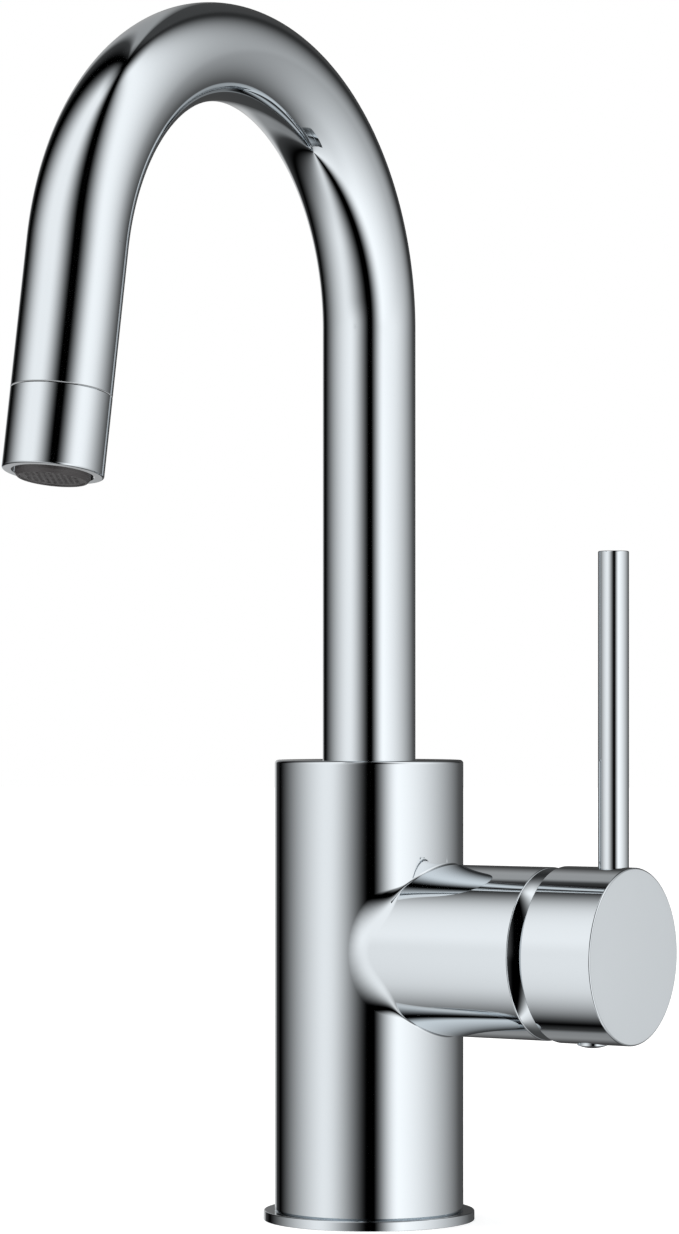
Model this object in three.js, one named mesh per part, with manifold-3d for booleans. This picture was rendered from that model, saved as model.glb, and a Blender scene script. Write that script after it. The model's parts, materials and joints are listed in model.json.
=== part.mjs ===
// A gooseneck bar faucet with one side lever. Millimetres, +Z up.
// The origin is on the body's axis at the underside of the flange, level with the counter.
// The spout points to -Y and the lever hub to +X.

import * as THREE from 'three';
import { mergeVertices } from 'three/addons/utils/BufferGeometryUtils.js';
import Module from 'manifold-3d';

const wasm = await Module();
wasm.setup();

// ---------------------------------------------------------------- driving dimensions

// Clearances
const fitGap = 0.3; // between parts that slide or screw into each other
const pinGap = 0.12; // round a pin or the rod, measured on the flats of the faceted rounds
const tipGap = 0.2; // round the lever's ball tip
const ringGap = 0.2; // beside a ring in its groove
const stackGap = 0.1; // between the flat faces of the cartridge stack
const sink = 0.05; // how far a joined form reaches into its neighbour

// Body and counter flange
const bodyRadius = 25.4;
const bodyTop = 123.7;
const bodyEdge = 0.9;
const jointLine = 0.35; // bevel at the body's foot, which draws the dark line on the flange
const flangeRadius = 28.4;
const flangeThickness = 2.6;
const flangeEdge = 0.35;
const flangeSealInner = 20.3;
const flangeSealOuter = 23.9;
const flangeSealHeight = 1.2;

// Shank and clamp under the counter
const shankRadius = 16.0;
const shankWall = 2.8;
const shankGrip = 19.4; // length screwed into the body, from the top of the flange
const shankBelow = 50; // length under the counter
const counterThickness = 20;
const clampRadius = 27;
const rubberWasherHeight = 2.5;
const steelWasherHeight = 1.5;
const nutHeight = 9;
const nutAcrossCorners = 52;

// Hose chamber and inlets in the body
const chamberRadius = 19;
const chamberTop = 44;
const inletPlace = 2; // how far the inlets lie from the body's axis towards the branch
const inletThreadRadius = 4.9;
const inletThreadDepth = 9;
const risingPassageRadius = 3.0;
const mixedRiserRadius = 4.0;
const mixedRiserPlace = 5; // of the mixed water's riser, from the body's axis away from the branch

// Branch that holds the cartridge
const branchHeight = 73.2;
const branchRadius = 22.8;
const branchEnd = 57.0;
const branchEdge = 0.35;
const junctionFillet = 3.0;
const cartridgeSeat = 18.0;
const mouthRadius = 19.0;
const mouthDepth = 13.3;

// Spout
const tubeRadius = 12.5;
const tubeWall = 1.2;
const bendHeight = 239.7;
const bendRadius = 65.9;
const bendSweep = THREE.MathUtils.degToRad(170);
const legLength = 57.5; // straight, from the end of the bend to the outlet rim
const nozzleLength = 20.2;
const seamGap = 0.15;

// Swivel joint of the spout in the body
const socketDepth = 35.7;
const spigotHeight = 24;
const spigotBore = 8.0;
const plugLength = 10; // part of the spigot, or of the nozzle, that fits inside the tube
const slipRingHeight = 3.5;
const slipRingThickness = 1.5;
const oRingSection = 1.15;
const snapRingThickness = 1.4;
const snapRingDepth = 2.0;
const lowerSlipRingPlace = 1.2; // heights above the spigot's foot
const lowerORingPlace = 7.5;
const snapRingPlace = 11.8;
const upperORingPlace = 16.1;
const upperSlipRingPlace = 18.8;

// Nozzle and aerator
const rimEdge = 0.5;
const aeratorRadius = 9.7;
const aeratorFaceRadius = 8.8;
const aeratorWall = 1.1;
const aeratorFloor = 1.6;
const aeratorDrop = 1.5; // how far the aerator stands out of the rim
const aeratorHeight = 14.2;
const screenThickness = 0.8;
const sealThickness = 1.7;
const nozzleWaterway = 8.0;
const gridHole = 0.9;
const gridPitch = 3.2;

// Cartridge, from its seat outwards
const cartridgeRadius = 17.45;
const baseThickness = 5.0;
const inletCircle = 8.0; // radius on which the hot and cold ports lie
const inletSpread = THREE.MathUtils.degToRad(60); // of each inlet port from straight up
const outletOffset = 3.5; // the outlet port, under the axis
const portRadius = 2.9;
const portSealRadius = 4.5;
const portSealSquash = 0.3; // how far a port seal stands out of the base
const portSealDepth = 1.7;
const locatorRadius = 1.5;
const locatorCircle = 12.5;
const locatorLength = 3.0;
const fixedDiscRadius = 13.2;
const fixedDiscThickness = 4.0;
const slotWidth = 4.2; // of the curved hot and cold slots in the fixed disc
const slotSweep = THREE.MathUtils.degToRad(46);
const movingDiscRadius = 10.8;
const movingDiscThickness = 3.8;
const mixingPocketRadius = 5.4;
const mixingPocketDepth = 2.2;
const driverThickness = 4.4;
const grooveOffset = 8.0;
const railWidth = 2.0;
const railHeight = 1.5;
const railLength = 12;
const carrierFlangeRadius = 15.2;
const carrierFlangeHeight = 3.2;
const carrierRadius = 11.9;
const carrierHeight = 17.3;
const housingWall = 1.85;
const housingTop = 1.6;
const housingShoulder = 4.15;
const neckWall = 2.0;

// Lever stem
const pivotPlace = 45.45; // tilt axis, from the body's axis
const leverTravel = THREE.MathUtils.degToRad(20);
const stemSide = 8.0;
const stemStart = 39.0;
const stemEnd = 79.6;
const tipRadius = 2.9;
const tipDepth = 1.2; // centre of the tip below the driver's top
const tipNeckRadius = 2.2;
const pivotPinRadius = 1.95;

// Bonnet and cartridge nut
const domeRadius = 25.4; // round the tilt axis
const domeEnd = 60.0;
const domeCap = 62.3;
const domeMouth = 12.0;
const domeWall = 1.5;
const bonnetSkirt = 5.8;
const bonnetSkirtWall = 1.9;
const nutWall = 4.0;
const nutSlots = 6;
const nutSlotWidth = 3.0;
const nutSlotDepth = 1.6;

// Handle
const hubRadius = 23.15;
const hubClearance = 0.7; // between the dome and the hub's hollow
const hubBack = 61.3;
const hubFront = 81.8;
const hubEdge = 0.45;
const rodRadius = 4.04;
const rodPlace = 75.65;
const rodTop = 178.5;
const rodEdge = 0.35;
const rodSocket = 10;
const screwPlace = 69.4;
const screwRadius = 2.0;
const screwLength = 12.0;
const plugHeadRadius = 4.1;
const plugStandOut = 1.3;
const plugSeatDepth = 0.85;
const plugStem = 3.0;

// Facets round a full turn
const visibleFacets = 44;
const tubeFacets = 24;
const hiddenFacets = 24;
const smallFacets = 14;
const holeFacets = 6;

// ---------------------------------------------------------------- sizes that follow

const turn = 2 * Math.PI;
const quarterTurn = Math.PI / 2;
const socketRadius = tubeRadius + fitGap;
const tubeBore = tubeRadius - tubeWall;
const shankBoreRadius = shankRadius + fitGap;
const shankInner = shankRadius - shankWall;
const shankTop = flangeThickness + shankGrip;
const cartridgeBore = cartridgeRadius + fitGap;

// The cartridge stack, measured from the body's axis along the branch
const baseStart = cartridgeSeat + portSealSquash;
const fixedDiscStart = baseStart + baseThickness + stackGap;
const movingDiscStart = fixedDiscStart + fixedDiscThickness + stackGap;
const driverStart = movingDiscStart + movingDiscThickness + stackGap;
const driverEnd = driverStart + driverThickness;
const tipPlace = driverEnd - tipDepth;
const carrierStart = driverEnd + fitGap;
const carrierFlangeEnd = carrierStart + carrierFlangeHeight;
const carrierEnd = carrierStart + carrierHeight;
const housingInner = cartridgeRadius - housingWall;
const neckInner = carrierRadius + fitGap;
const neckRadius = neckInner + neckWall;
const shoulderPlace = carrierFlangeEnd + fitGap + housingShoulder;
const housingEnd = carrierEnd + fitGap + housingTop;
const nutStart = shoulderPlace + fitGap;
const bonnetSkirtEnd = branchEnd - bonnetSkirt;
const nutEnd = bonnetSkirtEnd - fitGap;

// How far a square stem swings sideways at a distance from its pivot
const halfStem = stemSide / 2;
const swing = (distance) => distance * Math.tan(leverTravel) + halfStem / Math.cos(leverTravel);
const stemSlot = swing(Math.max(carrierEnd - pivotPlace, pivotPlace - stemStart)) + fitGap;
const lipRadius = Math.hypot(swing(housingEnd - pivotPlace), halfStem) + 2 * fitGap;

// The hub's hollow clears the dome at every tilt
const hubHollow = domeRadius + hubClearance;
const domeAngle = (place) => Math.asin((place - pivotPlace) / domeRadius);
const domeStartRadius = domeRadius * Math.cos(domeAngle(branchEnd));
const domeEndRadius = domeRadius * Math.cos(domeAngle(domeEnd));
const domeReach = (domeEnd - pivotPlace) * Math.cos(leverTravel) + domeEndRadius * Math.sin(leverTravel);
const hubFloor = pivotPlace + domeReach + fitGap;

// ---------------------------------------------------------------- shapes

// A closed three.js geometry as a solid, with its shared vertices merged and its faces pointing out.
function solid(geometry) {
  const bare = geometry.index ? geometry.toNonIndexed() : geometry.clone();
  bare.deleteAttribute('normal');
  bare.deleteAttribute('uv');
  const merged = mergeVertices(bare, 1e-4);
  const place = merged.getAttribute('position');
  const faces = [];
  const corners = [new THREE.Vector3(), new THREE.Vector3(), new THREE.Vector3()];
  let volume = 0;
  for (let i = 0; i < merged.index.count; i += 3) {
    const face = [0, 1, 2].map((k) => merged.index.getX(i + k));
    if (new Set(face).size < 3) continue;
    face.forEach((vertex, k) => corners[k].fromBufferAttribute(place, vertex));
    volume += corners[0].dot(corners[1].clone().cross(corners[2]));
    faces.push(face);
  }
  const triVerts = new Uint32Array(faces.flatMap((face) => (volume < 0 ? face.reverse() : face)));
  return new wasm.Manifold(new wasm.Mesh({ numProp: 3, vertProperties: place.array, triVerts }));
}

function geometryOf(body) {
  const mesh = body.getMesh();
  const geometry = new THREE.BufferGeometry();
  geometry.setAttribute('position', new THREE.BufferAttribute(new Float32Array(mesh.vertProperties), 3));
  geometry.setIndex(new THREE.BufferAttribute(new Uint32Array(mesh.triVerts), 1));
  return geometry;
}

const joined = (first, ...others) => others.reduce((sum, next) => sum.add(next), first);
const cut = (first, ...others) => others.reduce((rest, next) => rest.subtract(next), first);

// A closed profile of [radius, height] points, turned round Z.
function turnedGeometry(profile, facets = hiddenFacets) {
  const points = [...profile, profile[0]].map(([radius, height]) => new THREE.Vector2(radius, height));
  return new THREE.LatheGeometry(points, facets).rotateX(quarterTurn);
}

const turned = (profile, facets) => solid(turnedGeometry(profile, facets));

// A ring between two radii and two heights.
const ring = (inner, outer, low, high, facets) =>
  turned([[inner, low], [outer, low], [outer, high], [inner, high]], facets);

const disc = (radius, low, high, facets) =>
  turned([[0, low], [radius, low], [radius, high], [0, high]], facets);

// Points on an arc in a profile, from one angle to another, both included.
function arc(centreRadius, centreHeight, radius, from, to, steps) {
  return Array.from({ length: steps + 1 }, (_, i) => {
    const angle = from + ((to - from) * i) / steps;
    return [centreRadius + radius * Math.cos(angle), centreHeight + radius * Math.sin(angle)];
  });
}

// A round bar or drill between two points in space.
function bar(start, end, radius, facets = smallFacets) {
  const from = new THREE.Vector3(...start);
  const along = new THREE.Vector3(...end).sub(from);
  const length = along.length();
  const geometry = turnedGeometry([[0, 0], [radius, 0], [radius, length], [0, length]], facets);
  const aim = new THREE.Quaternion().setFromUnitVectors(new THREE.Vector3(0, 0, 1), along.normalize());
  return solid(geometry.applyQuaternion(aim).translate(from.x, from.y, from.z));
}

// A drill whose flats, not its corners, keep the radius.
const drill = (start, end, radius, facets = smallFacets) =>
  bar(start, end, radius / Math.cos(Math.PI / facets), facets);

// A box from its lowest corner to its highest.
function block(low, high) {
  const size = high.map((value, i) => value - low[i]);
  const geometry = new THREE.BoxGeometry(...size);
  return solid(geometry.translate(...low.map((value, i) => value + size[i] / 2)));
}

// Corners of a regular outline with that many sides.
const circle = (x, y, radius, sides) =>
  Array.from({ length: sides }, (_, i) => {
    const angle = (turn * i) / sides;
    return new THREE.Vector2(x + radius * Math.cos(angle), y + radius * Math.sin(angle));
  });

// A flat outline in X and Y, raised between two heights.
function plate(outline, low, high, curveSegments = 3) {
  const settings = { depth: high - low, bevelEnabled: false, curveSegments };
  return solid(new THREE.ExtrudeGeometry(outline, settings).translate(0, 0, low));
}

// ---------------------------------------------------------------- finishes

const finishes = {
  chrome: { color: 0xd9dde0, roughness: 0.06, metalness: 1 },
  brass: { color: 0xc2a15a, roughness: 0.35, metalness: 1 },
  steel: { color: 0xb9bcbe, roughness: 0.3, metalness: 1 },
  blackPlastic: { color: 0x232527, roughness: 0.5, metalness: 0 },
  whitePlastic: { color: 0xe6e6e0, roughness: 0.45, metalness: 0 },
  greyPlastic: { color: 0x6c7074, roughness: 0.5, metalness: 0 },
  ceramic: { color: 0xf1efe8, roughness: 0.12, metalness: 0 },
  rubber: { color: 0x1a1a1a, roughness: 0.8, metalness: 0 },
};

function part(name, body, finish) {
  const mesh = new THREE.Mesh(geometryOf(body), new THREE.MeshStandardMaterial(finishes[finish]));
  mesh.name = name;
  return mesh;
}

// ---------------------------------------------------------------- frames

const faucet = new THREE.Group();

// Along the branch: local X is the faucet's rear, local Y is up and local Z runs out of the body.
const branchLine = new THREE.Group();
branchLine.position.set(0, 0, branchHeight);
branchLine.rotation.set(quarterTurn, quarterTurn, 0);
branchLine.updateMatrix();
faucet.add(branchLine);

// At the outlet: local Z runs from the centre of the rim back up into the nozzle.
const lean = Math.PI - bendSweep;
const bendEnd = new THREE.Vector3(
  0,
  -bendRadius - bendRadius * Math.cos(lean),
  bendHeight + bendRadius * Math.sin(lean),
);
const legDirection = new THREE.Vector3(0, -Math.sin(lean), -Math.cos(lean));
const outlet = new THREE.Group();
outlet.position.copy(bendEnd).addScaledVector(legDirection, legLength);
outlet.rotation.set(-lean, 0, 0);
faucet.add(outlet);

const onBranch = (profile, facets) =>
  solid(turnedGeometry(profile, facets).applyMatrix4(branchLine.matrix));

// Where the three waterways meet the cartridge, as [rearward, upward] from the branch's axis.
// Opening the lever lifts the moving disc, so the inlets are above the outlet.
const outletPort = [0, -outletOffset];
const hotPort = [-inletCircle * Math.sin(inletSpread), inletCircle * Math.cos(inletSpread)];
const coldPort = [inletCircle * Math.sin(inletSpread), inletCircle * Math.cos(inletSpread)];

// ---------------------------------------------------------------- body

// The fillet round the foot of the branch is the groove that a ball fills as it rolls round the
// crease between the two cylinders.
function junctionFilletRing() {
  const sections = 44;
  const arcSteps = 3;
  const bodyScale = (bodyRadius - sink) / (bodyRadius + junctionFillet);
  const branchScale = (branchRadius - sink) / (branchRadius + junctionFillet);
  const loops = Array.from({ length: sections }, (_, i) => {
    const angle = (turn * i) / sections;
    const across = (branchRadius + junctionFillet) * Math.sin(angle);
    const up = (branchRadius + junctionFillet) * Math.cos(angle);
    const out = Math.sqrt((bodyRadius + junctionFillet) ** 2 - across ** 2);
    const centre = new THREE.Vector3(out, across, branchHeight + up);
    const onBody = new THREE.Vector3(out * (bodyScale - 1), across * (bodyScale - 1), 0);
    const onBranchWall = new THREE.Vector3(0, across * (branchScale - 1), up * (branchScale - 1));
    const spread = onBody.angleTo(onBranchWall);
    const loop = [onBody.clone().add(centre)];
    for (let step = 1; step < arcSteps; step += 1) {
      const share = step / arcSteps;
      const ball = onBody
        .clone()
        .multiplyScalar(Math.sin((1 - share) * spread))
        .addScaledVector(onBranchWall, Math.sin(share * spread))
        .setLength(junctionFillet);
      loop.push(ball.add(centre));
    }
    loop.push(onBranchWall.clone().add(centre));
    loop.push(centre.clone().addScaledVector(onBody, 1.25).addScaledVector(onBranchWall, 1.25));
    return loop;
  });
  const width = loops[0].length;
  const index = [];
  for (let i = 0; i < sections; i += 1) {
    for (let j = 0; j < width; j += 1) {
      const here = i * width + j;
      const beside = i * width + ((j + 1) % width);
      const ahead = ((i + 1) % sections) * width + j;
      const diagonal = ((i + 1) % sections) * width + ((j + 1) % width);
      index.push(here, beside, ahead, beside, diagonal, ahead);
    }
  }
  const geometry = new THREE.BufferGeometry().setFromPoints(loops.flat());
  geometry.setIndex(index);
  return solid(geometry);
}

function bodyShell() {
  const column = turned(
    [
      [0, flangeThickness],
      [bodyRadius - jointLine, flangeThickness],
      [bodyRadius, flangeThickness + jointLine],
      ...arc(bodyRadius - bodyEdge, bodyTop - bodyEdge, bodyEdge, 0, quarterTurn, 3),
      [0, bodyTop],
    ],
    visibleFacets,
  );
  const branch = onBranch(
    [
      [0, 0],
      [branchRadius, 0],
      [branchRadius, branchEnd - branchEdge],
      [branchRadius - branchEdge, branchEnd],
      [0, branchEnd],
    ],
    visibleFacets,
  );
  const socketFloor = bodyTop - socketDepth;
  const snapMiddle = socketFloor + fitGap + snapRingPlace;
  const snapHalf = snapRingThickness / 2 + ringGap;
  const snapGrooveRadius = socketRadius + snapRingDepth / 2 + fitGap;
  const inletTop = chamberTop + inletThreadDepth;
  const past = 1;
  const at = ([rear, up], out) => [out, rear, branchHeight + up];
  const inletHeight = branchHeight + hotPort[1];
  const outletHeight = branchHeight + outletPort[1] - portRadius;
  const cores = [
    // cartridge bore and the threaded mouth in front of it
    bar(at([0, 0], cartridgeSeat), at([0, 0], branchEnd + past), cartridgeBore, hiddenFacets),
    bar(at([0, 0], branchEnd - mouthDepth), at([0, 0], branchEnd + past), mouthRadius, hiddenFacets),
    // holes for the cartridge's two locating pins
    ...[-1, 1].map((side) =>
      bar(
        at([side * locatorCircle, 0], cartridgeSeat - locatorLength - fitGap),
        at([side * locatorCircle, 0], cartridgeSeat + past),
        locatorRadius + 0.2,
        smallFacets,
      ),
    ),
    // socket of the spout, the groove of its snap ring and the mixed water's way up to it
    drill([0, 0, socketFloor], [0, 0, bodyTop + past], socketRadius, visibleFacets),
    bar([0, 0, snapMiddle - snapHalf], [0, 0, snapMiddle + snapHalf], snapGrooveRadius, hiddenFacets),
    bar([-mixedRiserPlace, 0, outletHeight], [-mixedRiserPlace, 0, socketFloor + past], mixedRiserRadius),
    bar(at(outletPort, -mixedRiserPlace), at(outletPort, cartridgeSeat + past), portRadius),
    // thread for the shank and the chamber where the hoses end
    bar([0, 0, 0], [0, 0, shankTop + fitGap], shankBoreRadius, hiddenFacets),
    bar([0, 0, shankTop], [0, 0, chamberTop], chamberRadius, hiddenFacets),
    // hot and cold waterways, from the hose inlets up to the cartridge
    ...[hotPort, coldPort].flatMap((port) => [
      bar([inletPlace, port[0], chamberTop - past], [inletPlace, port[0], inletTop], inletThreadRadius),
      bar([inletPlace, port[0], chamberTop], [inletPlace, port[0], inletHeight], risingPassageRadius),
      bar(at(port, inletPlace), at(port, cartridgeSeat + past), portRadius),
    ]),
  ];
  return cut(joined(column, branch, junctionFilletRing()), ...cores);
}

faucet.add(part('body_shell', bodyShell(), 'chrome'));

// ---------------------------------------------------------------- flange, shank and clamp

const flange = turned(
  [
    [shankBoreRadius, 0],
    [flangeSealInner - fitGap, 0],
    [flangeSealInner - fitGap, flangeSealHeight + fitGap],
    [flangeSealOuter + fitGap, flangeSealHeight + fitGap],
    [flangeSealOuter + fitGap, 0],
    [flangeRadius, 0],
    [flangeRadius, flangeThickness - flangeEdge],
    [flangeRadius - flangeEdge, flangeThickness],
    [shankBoreRadius, flangeThickness],
  ],
  visibleFacets,
);
const clampSeal = ring(flangeSealInner, flangeSealOuter, 0, flangeSealHeight, hiddenFacets);
const shank = ring(shankInner, shankRadius, -shankBelow, shankTop, hiddenFacets);
const rubberTop = -counterThickness;
const steelTop = rubberTop - rubberWasherHeight;
const nutTop = steelTop - steelWasherHeight;
const rubberWasher = ring(shankBoreRadius, clampRadius, steelTop, rubberTop, hiddenFacets);
const steelWasher = ring(shankBoreRadius, clampRadius, nutTop, steelTop, hiddenFacets);
const hexagon = disc(nutAcrossCorners / 2, nutTop - nutHeight, nutTop, 6);
const nutBore = bar([0, 0, nutTop - nutHeight - 1], [0, 0, nutTop + 1], shankBoreRadius, hiddenFacets);
const clampNut = cut(hexagon, nutBore);

faucet.add(
  part('deck_flange', flange, 'chrome'),
  part('flange_seal', clampSeal, 'rubber'),
  part('mounting_shank', shank, 'brass'),
  part('deck_washer_rubber', rubberWasher, 'rubber'),
  part('deck_washer_steel', steelWasher, 'steel'),
  part('mounting_nut', clampNut, 'brass'),
);

// ---------------------------------------------------------------- spout

// Straight up, round the bend and down the leaning leg. The curve is walked by its own steps, so
// that each straight is one step and the bend has all the others.
class GooseneckPath extends THREE.Curve {
  constructor(start, end, bendSteps) {
    super();
    this.start = start;
    this.end = end;
    this.steps = bendSteps + 2;
  }

  getPoint(t, target = new THREE.Vector3()) {
    const step = t * this.steps;
    if (step < 1) return target.copy(this.start).lerp(new THREE.Vector3(0, 0, bendHeight), step);
    if (step > this.steps - 1) return target.copy(bendEnd).lerp(this.end, step - this.steps + 1);
    const angle = (bendSweep * (step - 1)) / (this.steps - 2);
    return target.set(0, bendRadius * (Math.cos(angle) - 1), bendHeight + bendRadius * Math.sin(angle));
  }

  getUtoTmapping(u) {
    return u;
  }
}

const spigotFoot = bodyTop - socketDepth + fitGap;
const tubeFoot = new THREE.Vector3(0, 0, spigotFoot + spigotHeight + fitGap);
const tubeEnd = bendEnd.clone().addScaledVector(legDirection, legLength - nozzleLength);

function spoutTube() {
  const section = new THREE.Shape(circle(0, 0, tubeRadius, tubeFacets));
  section.holes.push(new THREE.Path(circle(0, 0, tubeBore, tubeFacets)));
  const path = new GooseneckPath(tubeFoot, tubeEnd, 22);
  const settings = { steps: path.steps, extrudePath: path, bevelEnabled: false };
  return solid(new THREE.ExtrudeGeometry(section, settings));
}

// The turned foot that the tube is fixed on, with a groove for each ring it carries.
const spigotRadius = tubeRadius - 0.05;
const plugRadius = tubeBore - fitGap;
const slipRingInner = tubeRadius + 0.2 - slipRingThickness;
const oRingMiddle = socketRadius - 0.1 - oRingSection;
const snapRingInner = socketRadius + snapRingDepth / 2 - snapRingDepth;

function spoutSpigot() {
  const top = spigotHeight;
  const blank = turned([
    [spigotBore, 0],
    [spigotRadius, 0],
    [spigotRadius, top],
    [plugRadius, top],
    [plugRadius, top + plugLength],
    [spigotBore, top + plugLength],
  ]);
  const groove = (low, high, floor) => ring(floor, spigotRadius + 1, low, high);
  const slipGroove = (place) =>
    groove(place - ringGap, place + slipRingHeight + ringGap, slipRingInner - ringGap);
  const sealReach = oRingSection + ringGap;
  const sealGroove = (place) =>
    groove(place - sealReach, place + sealReach, oRingMiddle - sealReach);
  const snapGroove = groove(
    snapRingPlace - snapRingThickness / 2 - 2 * ringGap,
    snapRingPlace + snapRingThickness / 2 + 2 * ringGap,
    snapRingInner - 2 * ringGap,
  );
  return cut(
    blank,
    slipGroove(lowerSlipRingPlace),
    sealGroove(lowerORingPlace),
    snapGroove,
    sealGroove(upperORingPlace),
    slipGroove(upperSlipRingPlace),
  );
}

const slipRing = (place) =>
  ring(slipRingInner, slipRingInner + slipRingThickness, place, place + slipRingHeight);

const oRing = (place) => turned(arc(oRingMiddle, place, oRingSection, 0, turn, 6).slice(0, -1));

// The split ring stays in the body's groove and keeps the spout from lifting.
function snapRing() {
  const low = snapRingPlace - snapRingThickness / 2;
  const whole = ring(snapRingInner, snapRingInner + snapRingDepth, low, low + snapRingThickness);
  const reach = 2 * tubeRadius;
  return cut(whole, block([0, -snapRingInner / 2, 0], [reach, snapRingInner / 2, spigotHeight]));
}

const swivel = new THREE.Group();
swivel.position.set(0, 0, spigotFoot);
swivel.add(
  part('spout_spigot', spoutSpigot(), 'brass'),
  part('lower_slip_ring', slipRing(lowerSlipRingPlace), 'whitePlastic'),
  part('lower_o_ring', oRing(lowerORingPlace), 'rubber'),
  part('spout_snap_ring', snapRing(), 'steel'),
  part('upper_o_ring', oRing(upperORingPlace), 'rubber'),
  part('upper_slip_ring', slipRing(upperSlipRingPlace), 'whitePlastic'),
);
faucet.add(part('spout_tube', spoutTube(), 'chrome'), swivel);

// ---------------------------------------------------------------- nozzle and aerator

const aeratorTop = aeratorHeight - aeratorDrop;
const aeratorInner = aeratorRadius - aeratorWall;
const sealStart = aeratorTop + stackGap;
const chamberDepth = sealStart + sealThickness + stackGap;
const nozzleShoulder = nozzleLength - seamGap;

const nozzleSleeve = turned(
  [
    [aeratorRadius + fitGap, 0],
    [tubeRadius - rimEdge, 0],
    [tubeRadius, rimEdge],
    [tubeRadius, nozzleShoulder],
    [plugRadius, nozzleShoulder],
    [plugRadius, nozzleShoulder + plugLength],
    [nozzleWaterway, nozzleShoulder + plugLength],
    [nozzleWaterway, chamberDepth],
    [aeratorRadius + fitGap, chamberDepth],
  ],
  tubeFacets,
);

// Places of a hexagonal pattern of holes inside a radius.
function gridPlaces(radius) {
  const rows = Math.ceil(radius / gridPitch);
  const places = [];
  for (let row = -rows; row <= rows; row += 1) {
    for (let column = -rows; column <= rows; column += 1) {
      const x = gridPitch * (column + row / 2);
      const y = (gridPitch * row * Math.sqrt(3)) / 2;
      if (Math.hypot(x, y) < radius - gridPitch / 2) places.push([x, y]);
    }
  }
  return places;
}

// A flat outline with the pattern of holes in it.
function gridOutline(radius) {
  const outline = new THREE.Shape(circle(0, 0, radius, hiddenFacets));
  gridPlaces(radius).forEach(([x, y]) => {
    outline.holes.push(new THREE.Path(circle(x, y, gridHole, holeFacets)));
  });
  return outline;
}

function aeratorCage() {
  const floorTop = aeratorFloor - aeratorDrop;
  const wall = turned(
    [
      [aeratorInner - 0.6, -aeratorDrop],
      [aeratorFaceRadius, -aeratorDrop],
      [aeratorRadius, -aeratorDrop + 1],
      [aeratorRadius, aeratorTop],
      [aeratorInner, aeratorTop],
      [aeratorInner, floorTop],
      [aeratorInner - 0.6, floorTop],
    ],
    tubeFacets,
  );
  const floor = plate(gridOutline(aeratorInner - 0.4), -aeratorDrop + 0.3, floorTop);
  return wall.add(floor);
}

const aeratorScreen = plate(
  gridOutline(aeratorInner - fitGap),
  aeratorTop - 2 * screenThickness,
  aeratorTop - screenThickness,
);
const aeratorSeal = ring(nozzleWaterway, aeratorRadius, sealStart, sealStart + sealThickness);

outlet.add(
  part('nozzle_sleeve', nozzleSleeve, 'chrome'),
  part('aerator_cage', aeratorCage(), 'blackPlastic'),
  part('aerator_screen', aeratorScreen, 'greyPlastic'),
  part('aerator_seal', aeratorSeal, 'rubber'),
);

// ---------------------------------------------------------------- cartridge

const portHole = ([x, y], radius, low, high) => bar([x, y, low], [x, y, high], radius);
const ports = [outletPort, hotPort, coldPort];

function cartridgeBase() {
  const top = baseStart + baseThickness;
  const plateBody = disc(cartridgeRadius, baseStart, top);
  const pins = [-1, 1].map((side) =>
    portHole([side * locatorCircle, 0], locatorRadius, cartridgeSeat - locatorLength, baseStart + 1),
  );
  const pockets = ports.flatMap((port) => [
    portHole(port, portSealRadius + 0.2, baseStart - 1, baseStart + portSealDepth),
    portHole(port, portRadius, baseStart, top + 1),
  ]);
  return cut(joined(plateBody, ...pins), ...pockets);
}

const portSeal = (port) =>
  cut(
    portHole(port, portSealRadius, cartridgeSeat, baseStart + portSealDepth - stackGap),
    portHole(port, portRadius, cartridgeSeat - 1, baseStart + portSealDepth + 1),
  );

// A slot bent round the cartridge's axis, with round ends.
function curvedSlot([x, y], low, high) {
  const middle = Math.atan2(y, x);
  const half = slotWidth / 2;
  const from = middle - slotSweep / 2;
  const to = middle + slotSweep / 2;
  const endCentre = (angle) => [inletCircle * Math.cos(angle), inletCircle * Math.sin(angle)];
  const outline = new THREE.Shape();
  outline.absarc(0, 0, inletCircle + half, from, to);
  outline.absarc(...endCentre(to), half, to, to + Math.PI);
  outline.absarc(0, 0, inletCircle - half, to, from, true);
  outline.absarc(...endCentre(from), half, from + Math.PI, from + turn);
  return plate(outline, low, high, 3);
}

const fixedDiscEnd = fixedDiscStart + fixedDiscThickness;
const fixedDisc = cut(
  disc(fixedDiscRadius, fixedDiscStart, fixedDiscEnd),
  portHole(outletPort, portRadius, fixedDiscStart - 1, fixedDiscEnd + 1),
  curvedSlot(hotPort, fixedDiscStart - 1, fixedDiscEnd + 1),
  curvedSlot(coldPort, fixedDiscStart - 1, fixedDiscEnd + 1),
);

const movingDiscEnd = movingDiscStart + movingDiscThickness;

// The pocket under the moving disc joins the inlets to the outlet when the disc is lifted.
const movingDisc = cut(
  disc(movingDiscRadius, movingDiscStart, movingDiscEnd),
  portHole([0, 0], mixingPocketRadius, movingDiscStart - 1, movingDiscStart + mixingPocketDepth),
);

// The driver lies on the moving disc. The lever's tip sits in its hole, and the carrier's two
// rails run in its grooves.
function discDriver() {
  const groove = (side) => {
    const middle = side * grooveOffset;
    const half = railWidth / 2 + fitGap;
    const reach = movingDiscRadius + 1;
    return block(
      [middle - half, -reach, carrierStart - railHeight - fitGap],
      [middle + half, reach, driverEnd + 1],
    );
  };
  return cut(
    disc(movingDiscRadius, driverStart, driverEnd),
    drill([0, 0, driverStart - 1], [0, 0, driverEnd + 1], tipRadius + tipGap),
    groove(-1),
    groove(1),
  );
}

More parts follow.
